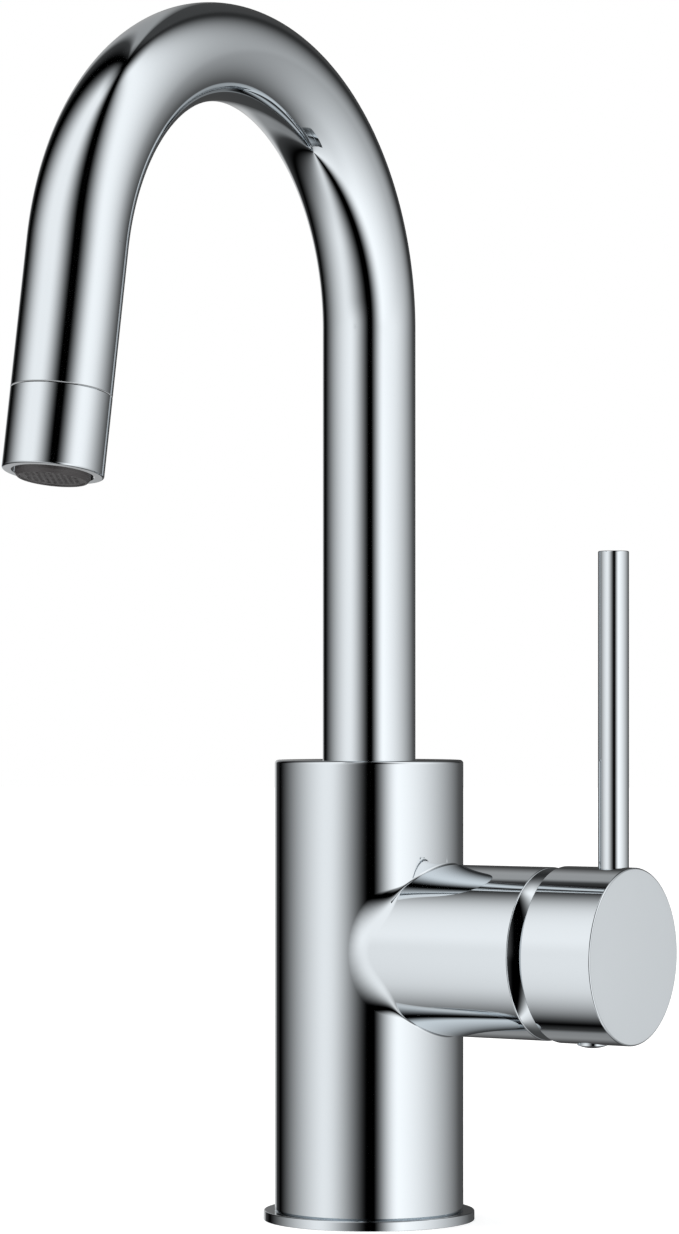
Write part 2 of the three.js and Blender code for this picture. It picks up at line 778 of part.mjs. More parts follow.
// The carrier turns in the housing's neck and holds the pin that the lever tilts on.
function stemCarrier() {
  const blank = turned([
    [0, carrierStart],
    [carrierFlangeRadius, carrierStart],
    [carrierFlangeRadius, carrierFlangeEnd],
    [carrierRadius, carrierFlangeEnd],
    [carrierRadius, carrierEnd],
    [0, carrierEnd],
  ]);
  const rail = (side) =>
    block(
      [side * grooveOffset - railWidth / 2, -railLength / 2, carrierStart - railHeight],
      [side * grooveOffset + railWidth / 2, railLength / 2, carrierStart + 1],
    );
  const half = halfStem + 0.2;
  const slot = block([-half, -stemSlot, carrierStart - railHeight - 1], [half, stemSlot, carrierEnd + 1]);
  const reach = carrierRadius + 1;
  const pinHole = drill([-reach, 0, pivotPlace], [reach, 0, pivotPlace], pivotPinRadius + pinGap);
  return cut(joined(blank, rail(-1), rail(1)), slot, pinHole);
}

const pivotPin = bar(
  [-carrierRadius + 0.5, 0, pivotPlace],
  [carrierRadius - 0.5, 0, pivotPlace],
  pivotPinRadius,
);

const cartridgeHousing = turned([
  [housingInner, fixedDiscStart],
  [cartridgeRadius, fixedDiscStart],
  [cartridgeRadius, shoulderPlace],
  [neckRadius, shoulderPlace],
  [neckRadius, housingEnd],
  [lipRadius, housingEnd],
  [lipRadius, carrierEnd + fitGap],
  [neckInner, carrierEnd + fitGap],
  [neckInner, carrierFlangeEnd + fitGap],
  [housingInner, carrierFlangeEnd + fitGap],
]);

branchLine.add(
  part('cartridge_base', cartridgeBase(), 'whitePlastic'),
  part('outlet_port_seal', portSeal(outletPort), 'rubber'),
  part('hot_port_seal', portSeal(hotPort), 'rubber'),
  part('cold_port_seal', portSeal(coldPort), 'rubber'),
  part('fixed_disc', fixedDisc, 'ceramic'),
  part('moving_disc', movingDisc, 'ceramic'),
  part('disc_driver', discDriver(), 'whitePlastic'),
  part('stem_carrier', stemCarrier(), 'greyPlastic'),
  part('stem_pin', pivotPin, 'steel'),
  part('cartridge_housing', cartridgeHousing, 'greyPlastic'),
);

// ---------------------------------------------------------------- nut and bonnet

function cartridgeNut() {
  const outer = mouthRadius - fitGap;
  const inner = outer - nutWall;
  const blank = ring(inner, outer, nutStart, nutEnd);
  const slots = Array.from({ length: nutSlots / 2 }, (_, i) => {
    const angle = (Math.PI * i) / (nutSlots / 2);
    const slot = new THREE.BoxGeometry(2 * outer + 1, nutSlotWidth, 2 * nutSlotDepth);
    return solid(slot.rotateZ(angle).translate(0, 0, nutEnd));
  });
  return cut(blank, ...slots);
}

// The bonnet shows between the branch and the hub. Its dome is centred on the tilt axis, so that
// the hub passes over it at every tilt.
function bonnetDome() {
  const skirtRadius = mouthRadius - fitGap;
  const skirtInner = skirtRadius - bonnetSkirtWall;
  const slope = (domeEndRadius - domeMouth) / (domeCap - domeEnd);
  const underCap = domeCap - domeWall;
  const underShoulder = underCap - (skirtInner - domeMouth) / slope;
  const dome = arc(0, pivotPlace, domeRadius, domeAngle(branchEnd), domeAngle(domeEnd), 4);
  return turned(
    [
      [skirtInner, bonnetSkirtEnd],
      [skirtRadius, bonnetSkirtEnd],
      [skirtRadius, branchEnd + stackGap / 2],
      [domeStartRadius, branchEnd + stackGap / 2],
      ...dome.slice(1),
      [domeMouth, domeCap],
      [domeMouth, underCap],
      [skirtInner, underShoulder],
    ],
    visibleFacets,
  );
}

branchLine.add(part('cartridge_nut', cartridgeNut(), 'brass'), part('bonnet_dome', bonnetDome(), 'chrome'));

// ---------------------------------------------------------------- lever

function leverStem() {
  const shaft = block([-halfStem, -halfStem, stemStart], [halfStem, halfStem, stemEnd]);
  const neck = bar([0, 0, tipPlace], [0, 0, stemStart + 1], tipNeckRadius);
  const tip = turned(arc(0, tipPlace, tipRadius, -quarterTurn, quarterTurn, 8), smallFacets);
  const reach = halfStem + 1;
  const pinHole = drill([-reach, 0, pivotPlace], [reach, 0, pivotPlace], pivotPinRadius + pinGap);
  return cut(joined(shaft, neck, tip), pinHole);
}

const rodSocketFloor = hubRadius - rodSocket;
const screwInner = halfStem + stackGap;
const plugSeat = hubRadius - plugSeatDepth;

// The hub is hollow behind, so that it swings over the bonnet. The stem's square socket, the rod's
// hole and the screw's hole are cut into the solid front.
function handleHub() {
  const backAngle = Math.asin((hubBack - pivotPlace) / hubHollow);
  const floorAngle = Math.asin((hubFloor - pivotPlace) / hubHollow);
  const hollow = arc(0, pivotPlace, hubHollow, floorAngle, backAngle, 4);
  const blank = turned(
    [
      [0, hubFloor],
      ...hollow,
      [hubRadius, hubBack],
      [hubRadius, hubFront - hubEdge],
      [hubRadius - hubEdge, hubFront],
      [0, hubFront],
    ],
    visibleFacets,
  );
  const socket = halfStem + 0.15;
  const past = hubRadius + 1;
  return cut(
    blank,
    block([-socket, -socket, hubBack], [socket, socket, stemEnd + fitGap]),
    drill([0, rodSocketFloor, rodPlace], [0, past, rodPlace], rodRadius + pinGap),
    drill([0, -past, screwPlace], [0, 0, screwPlace], screwRadius + 0.2),
    drill([0, -past, screwPlace], [0, -plugSeat, screwPlace], plugHeadRadius + 0.15),
  );
}

// The rod stands in its hole on the hub, with a fine bevel at its top.
function leverRod() {
  const top = rodTop - branchHeight;
  const foot = rodSocketFloor + fitGap;
  const profile = [
    [0, foot],
    [rodRadius, foot],
    [rodRadius, top - rodEdge],
    [rodRadius - rodEdge, top],
    [0, top],
  ];
  return solid(turnedGeometry(profile, tubeFacets).rotateX(-quarterTurn).translate(0, 0, rodPlace));
}

const setScrew = bar([0, -screwInner, screwPlace], [0, -screwInner - screwLength, screwPlace], screwRadius);

// A small domed button closes the screw's hole under the hub.
function screwPlug() {
  const seat = plugSeat + 0.05;
  const edge = hubRadius + plugStandOut * 0.3;
  const crown = hubRadius + plugStandOut;
  const profile = [
    [0, seat - plugStem],
    [screwRadius, seat - plugStem],
    [screwRadius, seat],
    [plugHeadRadius, seat],
    [plugHeadRadius, edge],
    [plugHeadRadius * 0.8, edge + (crown - edge) * 0.6],
    [plugHeadRadius * 0.4, crown - (crown - edge) * 0.1],
    [0, crown],
  ];
  return solid(turnedGeometry(profile, smallFacets).rotateX(quarterTurn).translate(0, 0, screwPlace));
}

branchLine.add(
  part('lever_stem', leverStem(), 'steel'),
  part('handle_hub', handleHub(), 'chrome'),
  part('lever_rod', leverRod(), 'chrome'),
  part('hub_set_screw', setScrew, 'steel'),
  part('screw_plug', screwPlug(), 'chrome'),
);

export default faucet;
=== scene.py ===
"""Finish of a gooseneck bar faucet: polished surfaces, threads, materials, studio and camera.

Everything is in metres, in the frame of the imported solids: +Z up, -Y towards the outlet and +X
along the branch to the lever.
"""

import json
import math

import bpy
import numpy as np
from mathutils import Matrix, Vector


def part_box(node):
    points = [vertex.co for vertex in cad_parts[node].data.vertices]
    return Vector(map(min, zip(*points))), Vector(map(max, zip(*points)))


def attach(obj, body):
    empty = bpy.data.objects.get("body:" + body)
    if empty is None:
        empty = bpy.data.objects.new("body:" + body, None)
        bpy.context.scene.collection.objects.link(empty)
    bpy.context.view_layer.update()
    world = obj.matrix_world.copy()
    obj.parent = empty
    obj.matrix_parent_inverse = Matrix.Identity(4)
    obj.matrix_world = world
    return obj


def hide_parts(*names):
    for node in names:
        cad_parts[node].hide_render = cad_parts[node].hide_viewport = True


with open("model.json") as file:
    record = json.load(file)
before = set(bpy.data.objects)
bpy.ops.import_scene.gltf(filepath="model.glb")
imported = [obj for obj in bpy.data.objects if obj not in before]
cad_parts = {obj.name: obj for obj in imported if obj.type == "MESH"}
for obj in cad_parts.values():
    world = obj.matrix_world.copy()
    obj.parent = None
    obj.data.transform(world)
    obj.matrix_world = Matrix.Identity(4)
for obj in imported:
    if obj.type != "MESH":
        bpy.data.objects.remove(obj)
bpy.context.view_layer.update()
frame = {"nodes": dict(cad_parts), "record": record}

TURN = 2 * math.pi
QUARTER = math.pi / 2
MM = 0.001

# ---------------------------------------------------------------- camera

VIEW_AZIMUTH = math.radians(33.34)
EYE = Vector((0.62682, -0.96730, 0.13854))
FOCAL_PIXELS = 4276.3
FRAME_HEIGHT_PIXELS = 1234
EYE_LEVEL_PIXELS = 704.76  # the row on which points at the eye's own height fall
SENSOR = 36.0

TOWARD_EYE = Vector((math.sin(VIEW_AZIMUTH), -math.cos(VIEW_AZIMUTH), 0))
RIGHTWARD = Vector((math.cos(VIEW_AZIMUTH), math.sin(VIEW_AZIMUTH), 0))


def make_camera():
    """A level camera whose frame is shifted upwards, so that upright lines stay upright."""
    data = bpy.data.cameras.new("camera")
    data.sensor_width = SENSOR
    data.lens = SENSOR * FOCAL_PIXELS / FRAME_HEIGHT_PIXELS
    data.shift_y = EYE_LEVEL_PIXELS / FRAME_HEIGHT_PIXELS - 0.5
    camera = bpy.data.objects.new("camera", data)
    camera.location = EYE
    camera.rotation_euler = (QUARTER, 0, VIEW_AZIMUTH)
    bpy.context.scene.collection.objects.link(camera)
    bpy.context.scene.camera = camera


make_camera()

# ---------------------------------------------------------------- sizes

# Read from the solids
body_low, body_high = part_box("body_shell")
flange_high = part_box("deck_flange")[1]
shank_low, shank_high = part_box("mounting_shank")
bonnet_low, bonnet_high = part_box("bonnet_dome")
hub_low, hub_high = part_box("handle_hub")
rod_low, rod_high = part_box("lever_rod")
plug_low, plug_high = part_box("screw_plug")
tube_low, tube_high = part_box("spout_tube")
body_radius = -body_low.x
body_foot = body_low.z
body_top = body_high.z
branch_end = body_high.x
branch_height = (bonnet_low.z + bonnet_high.z) / 2
hub_radius = hub_high.y
hub_back = hub_low.x
hub_front = hub_high.x
rod_radius = rod_high.y
rod_place = (rod_low.x + rod_high.x) / 2
plug_place = (plug_low.x + plug_high.x) / 2
tube_radius = tube_high.x

# Kept as the solids have them
CLEARANCE = 0.3 * MM  # between pieces that fit in each other
BODY_EDGE = 0.9 * MM
FINE_EDGE = 0.35 * MM
BRANCH_RADIUS = 22.8 * MM
SOCKET_RADIUS = 12.8 * MM
SOCKET_DEPTH = 35.7 * MM
MOUTH_RADIUS = 19.0 * MM
MOUTH_DEPTH = 13.3 * MM
CARTRIDGE_BORE = 17.75 * MM
CARTRIDGE_SEAT = 18.0 * MM
SHANK_BORE = 16.3 * MM
CHAMBER_RADIUS = 19.0 * MM
CHAMBER_TOP = 44.0 * MM
TUBE_WALL = 1.2 * MM
BEND_HEIGHT = 239.7 * MM
BEND_RADIUS = 65.9 * MM
BEND_SWEEP = math.radians(170)
LEG_LENGTH = 57.5 * MM
NOZZLE_LENGTH = 20.2 * MM
SEAM = 0.15 * MM
TILT_AXIS = 45.45 * MM  # of the lever, from the body's axis
DOME_RADIUS = 25.4 * MM
DOME_TOP = 60.0 * MM
HUB_HOLLOW = 26.1 * MM
HUB_EDGE = 0.45 * MM

# Finer than the solids have them
CREASE_FILLET = 0.6 * MM  # between body and branch, above and below
SIDE_FILLET = 17.0 * MM  # and at both sides, where they meet nearly in line
FILLET_GROWS = math.radians(38), math.radians(84)  # bearings from the crown between which it grows
SEAM_CHAMFER = 0.28 * MM

# Facets
ROUND = 128
TUBE_ROUND = 112
SMALL_ROUND = 64
EDGE_STEPS = 5
FILLET_STEPS = 16
BODY_ROWS = 48
BRANCH_ROWS = 6
HUB_ROWS = 20

# ---------------------------------------------------------------- node trees


class Value:
    """A socket of a node tree that is worked with as a number."""

    def __init__(self, nodes, socket):
        self.nodes = nodes
        self.socket = socket

    def worked(self, operation, *values):
        return self.nodes.add("ShaderNodeMath", {"operation": operation}, dict(enumerate(values)))

    def __add__(self, other):
        return self.worked("ADD", self, other)

    def __sub__(self, other):
        return self.worked("SUBTRACT", self, other)

    def __rsub__(self, other):
        return self.worked("SUBTRACT", other, self)

    def __mul__(self, other):
        return self.worked("MULTIPLY", self, other)

    def __truediv__(self, other):
        return self.worked("DIVIDE", self, other)

    def __neg__(self):
        return self.worked("MULTIPLY", self, -1.0)

    def __lt__(self, other):
        return self.worked("LESS_THAN", self, other)

    def __gt__(self, other):
        return self.worked("GREATER_THAN", self, other)

    __radd__ = __add__
    __rmul__ = __mul__

    def call(self, operation, *values):
        return self.worked(operation, self, *values)

    def held(self, low, high):
        """Kept between low and high."""
        return self.call("MAXIMUM", low).call("MINIMUM", high)

    def ramp(self, start, end, low=0.0, high=1.0):
        """Rises smoothly from low at start to high at end, which may lie below start."""
        settings = {"interpolation_type": "SMOOTHSTEP"}
        sockets = {"Value": self, "From Min": start, "From Max": end, "To Min": low, "To Max": high}
        return self.nodes.add("ShaderNodeMapRange", settings, sockets)


class Nodes:
    """Fills a node tree."""

    def __init__(self, tree):
        self.tree = tree
        tree.nodes.clear()

    def make(self, kind, settings=None, sockets=None):
        """Any node: its settings are set first, then the values or links of its sockets."""
        node = self.tree.nodes.new(kind)
        for name, value in (settings or {}).items():
            if name == "stops":
                self.set_stops(node.color_ramp, value)
            else:
                setattr(node, name, value)
        for name, value in (sockets or {}).items():
            for item in value if isinstance(value, list) else [value]:
                if isinstance(item, Value):
                    self.tree.links.new(item.socket, node.inputs[name])
                else:
                    node.inputs[name].default_value = item
        return node

    def add(self, kind, settings=None, sockets=None, output=None):
        """A node's output that is in use, by name, or its first."""
        node = self.make(kind, settings, sockets)
        found = [s for s in node.outputs if s.enabled]
        return Value(self, node.outputs[output] if output else found[0])

    @staticmethod
    def set_stops(ramp, stops):
        while len(ramp.elements) < len(stops):
            ramp.elements.new(1.0)
        for element, (place, colour) in zip(ramp.elements, stops):
            element.position = place
            element.color = (*colour, 1.0)

    def blend(self, factor, first, second):
        """A colour between two, each a colour or a link."""
        settings = {"data_type": "RGBA"}
        node = self.make("ShaderNodeMix", settings, {"Factor": factor})
        for name, value in (("A", first), ("B", second)):
            socket = next(s for s in node.inputs if s.name == name and s.type == "RGBA")
            if isinstance(value, Value):
                self.tree.links.new(value.socket, socket)
            else:
                socket.default_value = (*value, 1.0)
        return Value(self, next(s for s in node.outputs if s.type == "RGBA"))

    def dot(self, first, second):
        settings = {"operation": "DOT_PRODUCT"}
        return self.add("ShaderNodeVectorMath", settings, {0: first, 1: second}, "Value")


# ---------------------------------------------------------------- materials


class Finish(Nodes):
    """A procedural material on a piece's own Object coordinates."""

    def __init__(self, name):
        self.material = bpy.data.materials.new(name)
        self.material.use_nodes = True
        super().__init__(self.material.node_tree)
        self.place = self.add("ShaderNodeTexCoord", output="Object")

    def noise(self, size, detail=3.0, place=None):
        """Soft noise from 0 to 1 whose marks are about that size."""
        sockets = {"Vector": place or self.place, "Scale": 1 / size, "Detail": detail}
        return self.add("ShaderNodeTexNoise", {}, sockets, "Fac")

    def stretched(self, scale):
        return self.add("ShaderNodeMapping", {}, {"Vector": self.place, "Scale": scale})

    def bump(self, height, depth, strength=1.0):
        sockets = {"Height": height, "Distance": depth, "Strength": strength}
        return self.add("ShaderNodeBump", {}, sockets)

    def surface(self, sockets):
        shader = self.add("ShaderNodeBsdfPrincipled", {}, sockets)
        self.make("ShaderNodeOutputMaterial", {}, {"Surface": shader})
        return self.material


def chrome():
    """Bright plating with a faint polisher's haze and the slight waviness of plated brass."""
    finish = Finish("polished_chrome")
    haze = finish.noise(9 * MM, detail=4.0)
    cloud = finish.noise(38 * MM, detail=2.0)
    tint = finish.blend(cloud, (0.623, 0.662, 0.691), (0.641, 0.680, 0.709))
    return finish.surface(
        {
            "Base Color": tint,
            "Metallic": 1.0,
            "Roughness": haze.ramp(0.3, 0.75, 0.022, 0.05),
            "Normal": finish.bump(finish.noise(24 * MM, detail=1.0), 0.006 * MM),
        }
    )


def turned_metal(name, light, dark, shine):
    """Metal from the lathe: fine tool rings along its axis and a mottled tone."""
    finish = Finish(name)
    mottle = finish.noise(6 * MM, detail=5.0)
    rings = finish.noise(0.35 * MM, detail=2.0, place=finish.stretched((0.02, 0.02, 1.0)))
    return finish.surface(
        {
            "Base Color": finish.blend(mottle.ramp(0.3, 0.7), light, dark),
            "Metallic": 1.0,
            "Roughness": mottle * 0.12 + shine,
            "Normal": finish.bump(rings, 0.02 * MM),
        }
    )


def moulded(name, light, dark, shine, grain=0.5 * MM):
    """Moulded plastic or rubber with a fine grain and a slightly uneven tone."""
    finish = Finish(name)
    cloud = finish.noise(7 * MM, detail=3.0)
    speck = finish.noise(grain, detail=2.0)
    return finish.surface(
        {
            "Base Color": finish.blend(cloud, light, dark),
            "Roughness": speck.ramp(0.3, 0.7, shine - 0.07, shine + 0.07),
            "Normal": finish.bump(speck, 0.02 * MM, 0.6),
        }
    )


FINISHES = {
    "chrome": chrome(),
    "brass": turned_metal("turned_brass", (0.74, 0.58, 0.31), (0.62, 0.46, 0.22), 0.24),
    "steel": turned_metal("plain_steel", (0.64, 0.65, 0.66), (0.50, 0.51, 0.52), 0.26),
    "rubber": moulded("sealing_rubber", (0.030, 0.030, 0.030), (0.018, 0.018, 0.018), 0.72),
    "black_plastic": moulded("black_plastic", (0.075, 0.069, 0.070), (0.052, 0.048, 0.049), 0.42),
    "grey_plastic": moulded("grey_plastic", (0.36, 0.37, 0.38), (0.29, 0.30, 0.31), 0.45),
    "white_plastic": moulded("white_plastic", (0.86, 0.86, 0.83), (0.78, 0.78, 0.74), 0.40),
    "ceramic": moulded("lapped_ceramic", (0.91, 0.90, 0.87), (0.86, 0.84, 0.80), 0.16, 1.5 * MM),
}

slot_of = {row["node"]: row["material_slot"] for row in frame["record"]["subparts"]}
body_of = {
    node: body for body, nodes in frame["record"]["behaviour"]["bodies"].items() for node in nodes
}
pieces_of = {}  # the finished pieces in each solid's place


def stands_for(piece, node):
    """Puts a finished piece in a solid's place, on its body and in its finish."""
    piece.data.materials.clear()
    piece.data.materials.append(FINISHES[slot_of[node]])
    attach(piece, body_of[node])
    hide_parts(node)
    pieces_of.setdefault(node, []).append(piece)


# ---------------------------------------------------------------- surfaces

# From a frame whose Z runs along the branch
BRANCH_LINE = Matrix(((0, 0, 1, 0), (1, 0, 0, 0), (0, 1, 0, branch_height), (0, 0, 0, 1)))
AHEAD = np.array((0, 0, 1.0))
WELD = 0.001 * MM


class Skin:
    """Gathers patches of points, each with its exact normal, into one closed mesh."""

    def __init__(self, place=None):
        self.place = np.array(place or Matrix.Identity(4))
        self.points = []
        self.normals = []
        self.faces = []
        self.count = 0

    def patch(self, points, normals, wrap=True, place=None):
        """A grid of points in rows. Where it wraps, the last column joins the first."""
        place = self.place if place is None else np.array(place)
        points, normals = np.broadcast_arrays(points, normals)
        rows, columns = points.shape[:2]
        self.points.append(points.reshape(-1, 3) @ place[:3, :3].T + place[:3, 3])
        self.normals.append(normals.reshape(-1, 3) @ place[:3, :3].T)
        index = np.arange(rows * columns).reshape(rows, columns) + self.count
        beside = np.roll(index, -1, axis=1)
        if not wrap:
            index, beside = index[:, :-1], beside[:, :-1]
        corners = (index[:-1], beside[:-1], beside[1:], index[1:])
        self.faces.append(np.stack(corners, axis=-1).reshape(-1, 4))
        self.count += rows * columns

    def turn(self, strips, angles=None, place=None):
        """Strips of an outline, turned round the local Z."""
        if angles is None:
            angles = np.linspace(0, TURN, ROUND, endpoint=False)
        across, along = np.cos(angles), np.sin(angles)
        level = np.ones_like(angles)
        for strip in strips:
            radius, height, out, up = np.array(strip).T[:, :, None]
            points = np.stack([radius * across, radius * along, height * level], axis=-1)
            normals = np.stack([out * across, out * along, up * level], axis=-1)
            self.patch(points, normals, place=place)

    def wall(self, radius, angles, places, wrap=False):
        """A plain round wall between angles and places along the local Z."""
        out = np.stack([np.cos(angles), np.sin(angles), 0 * angles], axis=-1)[None]
        along = np.array(places)[:, None, None] * AHEAD
        self.patch(radius * out + along, out + 0 * along, wrap)

    def pierced_wall(self, radius, angles, places, centre, rim, rings):
        """A sector of a round wall with a hole. rim gives the hole's edge as angles and places,
        for bearings measured from the local Z towards a rising angle, and they are returned."""
        nodes = [(angle, places[-1]) for angle in angles]
        nodes += [(angles[-1], place) for place in places[-2::-1]]
        nodes += [(angle, places[0]) for angle in angles[-2::-1]]
        nodes += [(angles[0], place) for place in places[1:-1]]
        nodes = np.array(nodes)
        bearings = np.arctan2((nodes[:, 0] - centre[0]) * radius, nodes[:, 1] - centre[1])
        edge = np.stack(rim(bearings), axis=-1)
        shares = np.linspace(0, 1, rings + 1)[:, None, None] ** 1.3  # finer near the hole
        angle, place = np.moveaxis(edge + (nodes - edge) * shares, -1, 0)
        out = np.stack([np.cos(angle), np.sin(angle), 0 * angle], axis=-1)
        self.patch(radius * out + place[..., None] * AHEAD, out)
        return bearings

    def mesh(self, name):
        """One mesh, with the patches joined where their points meet."""
        points, normals = np.concatenate(self.points), np.concatenate(self.normals)
        cells = np.round(points / WELD).astype(np.int64)
        _, first, merged = np.unique(cells, axis=0, return_index=True, return_inverse=True)
        merged = merged.reshape(-1)
        faces, corner_normals = [], []
        for face in np.concatenate(self.faces):
            kept = [c for i, c in enumerate(face) if merged[c] != merged[face[i - 1]]]
            if len(kept) < 3:
                continue
            ring = points[kept]
            area = np.cross(ring, np.roll(ring, -1, axis=0)).sum(axis=0)
            if area @ normals[kept].sum(axis=0) < 0:
                kept = kept[::-1]
            faces.append([int(merged[c]) for c in kept])
            corner_normals.extend(normals[kept].tolist())
        mesh = bpy.data.meshes.new(name)
        mesh.from_pydata(points[first].tolist(), [], faces)
        mesh.polygons.foreach_set("use_smooth", [True] * len(faces))
        mesh.normals_split_custom_set(corner_normals)
        piece = bpy.data.objects.new(name, mesh)
        bpy.context.scene.collection.objects.link(piece)
        return piece


def arc(centre, radius, start, end, steps, inward=False):
    """A strip along an arc of an outline, with normals away from its centre or towards it."""
    angles = np.linspace(start, end, steps + 1)
    out = np.stack([np.cos(angles), np.sin(angles)], axis=-1)
    side = -1 if inward else 1
    return np.hstack([np.array(centre) + radius * out, side * out])


def outline(corners, closed=True):
    """Strips of an outline from corners (radius, height) or (radius, height, rounding), in the
    order that keeps the material on the left."""
    places = np.array([corner[:2] for corner in corners], float)
    roundings = [corner[2] if len(corner) > 2 else 0 for corner in corners]
    count = len(corners)
    sides = count if closed else count - 1
    ways = [places[(i + 1) % count] - places[i] for i in range(sides)]
    ways = [way / np.linalg.norm(way) for way in ways]
    outs = [np.array((way[1], -way[0])) for way in ways]
    starts = [places[i].copy() for i in range(sides)]
    ends = [places[(i + 1) % count].copy() for i in range(sides)]
    strips = []
    for i in range(count):
        if not roundings[i]:
            continue
        before, after = (i - 1) % count, i
        turned = ways[before][0] * ways[after][1] - ways[before][1] * ways[after][0]
        bend = math.atan2(turned, ways[before] @ ways[after])
        reach = roundings[i] * math.tan(abs(bend) / 2)
        ends[before] -= ways[before] * reach
        starts[after] += ways[after] * reach
        side = 1 if bend > 0 else -1
        centre = ends[before] - side * roundings[i] * outs[before]
        across, up = side * outs[before]
        start = math.atan2(up, across)
        strips.append(arc(centre, roundings[i], start, start + bend, EDGE_STEPS, side < 0))
    for start, end, out in zip(starts, ends, outs):
        strips.append([(*start, *out), (*end, *out)])
    return strips


# ---------------------------------------------------------------- body


def rolling_ball(bearing):
    """Centre and radius of the ball that rolls round the crease between the body and the branch,
    and grows towards both sides. Bearings are measured round the branch from its crown."""
    from_crown = np.arcsin(np.abs(np.sin(bearing)))
    start, end = FILLET_GROWS
    share = np.clip((from_crown - start) / (end - start), 0, 1)
    radius = CREASE_FILLET + (SIDE_FILLET - CREASE_FILLET) * share**2 * (3 - 2 * share)
    across = (BRANCH_RADIUS + radius) * np.sin(bearing)
    out = np.sqrt((body_radius + radius) ** 2 - across**2)
    up = branch_height + (BRANCH_RADIUS + radius) * np.cos(bearing)
    return np.stack([out, across, up], axis=-1), radius


def crease_rim(bearing):
    """Angle round the body and height at which the ball touches it."""
    out, across, up = rolling_ball(bearing)[0].T
    return np.arctan2(across, out), up


def crease_fillet(skin, bearings):
    """The fillet between body and branch. Returns its edge on the branch and the normals there."""
    centres, radii = rolling_ball(bearings)
    radii = radii[:, None]
    to_body = -centres * (1, 1, 0) / (body_radius + radii)
    to_branch = -np.stack([0 * bearings, np.sin(bearings), np.cos(bearings)], axis=-1)
    spread = np.arccos((to_body * to_branch).sum(axis=-1))[None, :, None]
    share = np.linspace(0, 1, FILLET_STEPS + 1)[:, None, None]
    to_skin = np.sin((1 - share) * spread) * to_body + np.sin(share * spread) * to_branch
    to_skin /= np.sin(spread)
    fillet = centres + radii * to_skin
    across_fillet = np.gradient(fillet, axis=0)
    along_fillet = np.roll(fillet, -1, axis=1) - np.roll(fillet, 1, axis=1)
    upright = np.cross(across_fillet, along_fillet)
    upright /= np.linalg.norm(upright, axis=-1, keepdims=True)
    upright *= -np.sign((upright * to_skin).sum(axis=-1, keepdims=True))
    upright[0], upright[-1] = -to_body, -to_branch
    skin.patch(fillet, upright)
    return fillet[-1], -to_branch


def body_top_strips():
    """The rounded top edge, and the socket for the spout's foot."""
    edge = arc((body_radius - BODY_EDGE, body_top - BODY_EDGE), BODY_EDGE, 0, QUARTER, 8)
    socket = outline(
        [
            (body_radius - BODY_EDGE, body_top),
            (SOCKET_RADIUS, body_top, 0.25 * MM),
            (SOCKET_RADIUS, body_top - SOCKET_DEPTH),
            (0, body_top - SOCKET_DEPTH),
        ],
        closed=False,
    )
    return [edge, *socket]


def body_foot_strips():
    """The chamber for the hoses, the shank's bore and the foot's outer edge."""
    return outline(
        [
            (0, CHAMBER_TOP),
            (CHAMBER_RADIUS, CHAMBER_TOP),
            (CHAMBER_RADIUS, shank_high.z + CLEARANCE),
            (SHANK_BORE, shank_high.z + CLEARANCE),
            (SHANK_BORE, body_foot, 0.3 * MM),
            (body_radius - FINE_EDGE, body_foot),
            (body_radius, body_foot + FINE_EDGE),
        ],
        closed=False,
    )


def branch_mouth_strips():
    """The branch's rounded end, and the bore for the cartridge."""
    edge = arc((BRANCH_RADIUS - FINE_EDGE, branch_end - FINE_EDGE), FINE_EDGE, 0, QUARTER, EDGE_STEPS)
    bore = outline(
        [
            (BRANCH_RADIUS - FINE_EDGE, branch_end),
            (MOUTH_RADIUS, branch_end, 0.2 * MM),
            (MOUTH_RADIUS, branch_end - MOUTH_DEPTH),
            (CARTRIDGE_BORE, branch_end - MOUTH_DEPTH),
            (CARTRIDGE_BORE, CARTRIDGE_SEAT),
            (0, CARTRIDGE_SEAT),
        ],
        closed=False,
    )
    return [edge, *bore]


def body():
    """The body with the branch in one piece: its outer skin, and the bores that open in it."""
    skin = Skin()
    front = np.linspace(-QUARTER, QUARTER, ROUND // 2 + 1)
    rear = front + math.pi
    places = np.linspace(body_foot + FINE_EDGE, body_top - BODY_EDGE, BODY_ROWS + 1)
    branch = (0, branch_height)
    bearings = skin.pierced_wall(body_radius, front, places, branch, crease_rim, rings=16)
    skin.wall(body_radius, rear, places)
    branch_foot, outward = crease_fillet(skin, bearings)
    mouth = branch_foot * (0, 1, 1) + np.array((branch_end - FINE_EDGE, 0, 0))
    share = np.linspace(0, 1, BRANCH_ROWS + 1)[:, None, None]
    skin.patch(branch_foot + (mouth - branch_foot) * share, outward)
    angles = np.concatenate([front[:-1], rear[:-1]])
    skin.turn(body_top_strips() + body_foot_strips(), angles)
    skin.turn(branch_mouth_strips(), QUARTER - bearings, BRANCH_LINE)
    return skin.mesh("polished_body")


stands_for(body(), "body_shell")

# ---------------------------------------------------------------- flange and clamp


def turned_piece(name, node, strips, place=None, facets=ROUND):
    """A piece from the lathe that stands for a solid."""
    skin = Skin(place)
    skin.turn(strips, np.linspace(0, TURN, facets, endpoint=False))
    piece = skin.mesh(name)
    stands_for(piece, node)
    return piece


def washer(name, node, inner, rounding):
    """A flat ring with rounded edges, as wide and thick as its solid."""
    low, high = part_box(node)
    corners = [(inner, low.z), (high.y, low.z), (high.y, high.z), (inner, high.z)]
    turned_piece(name, node, outline([(*corner, rounding) for corner in corners]))


SEAL_INNER = 20.3 * MM
SEAL_OUTER = 23.9 * MM
SEAL_GROOVE = 1.5 * MM


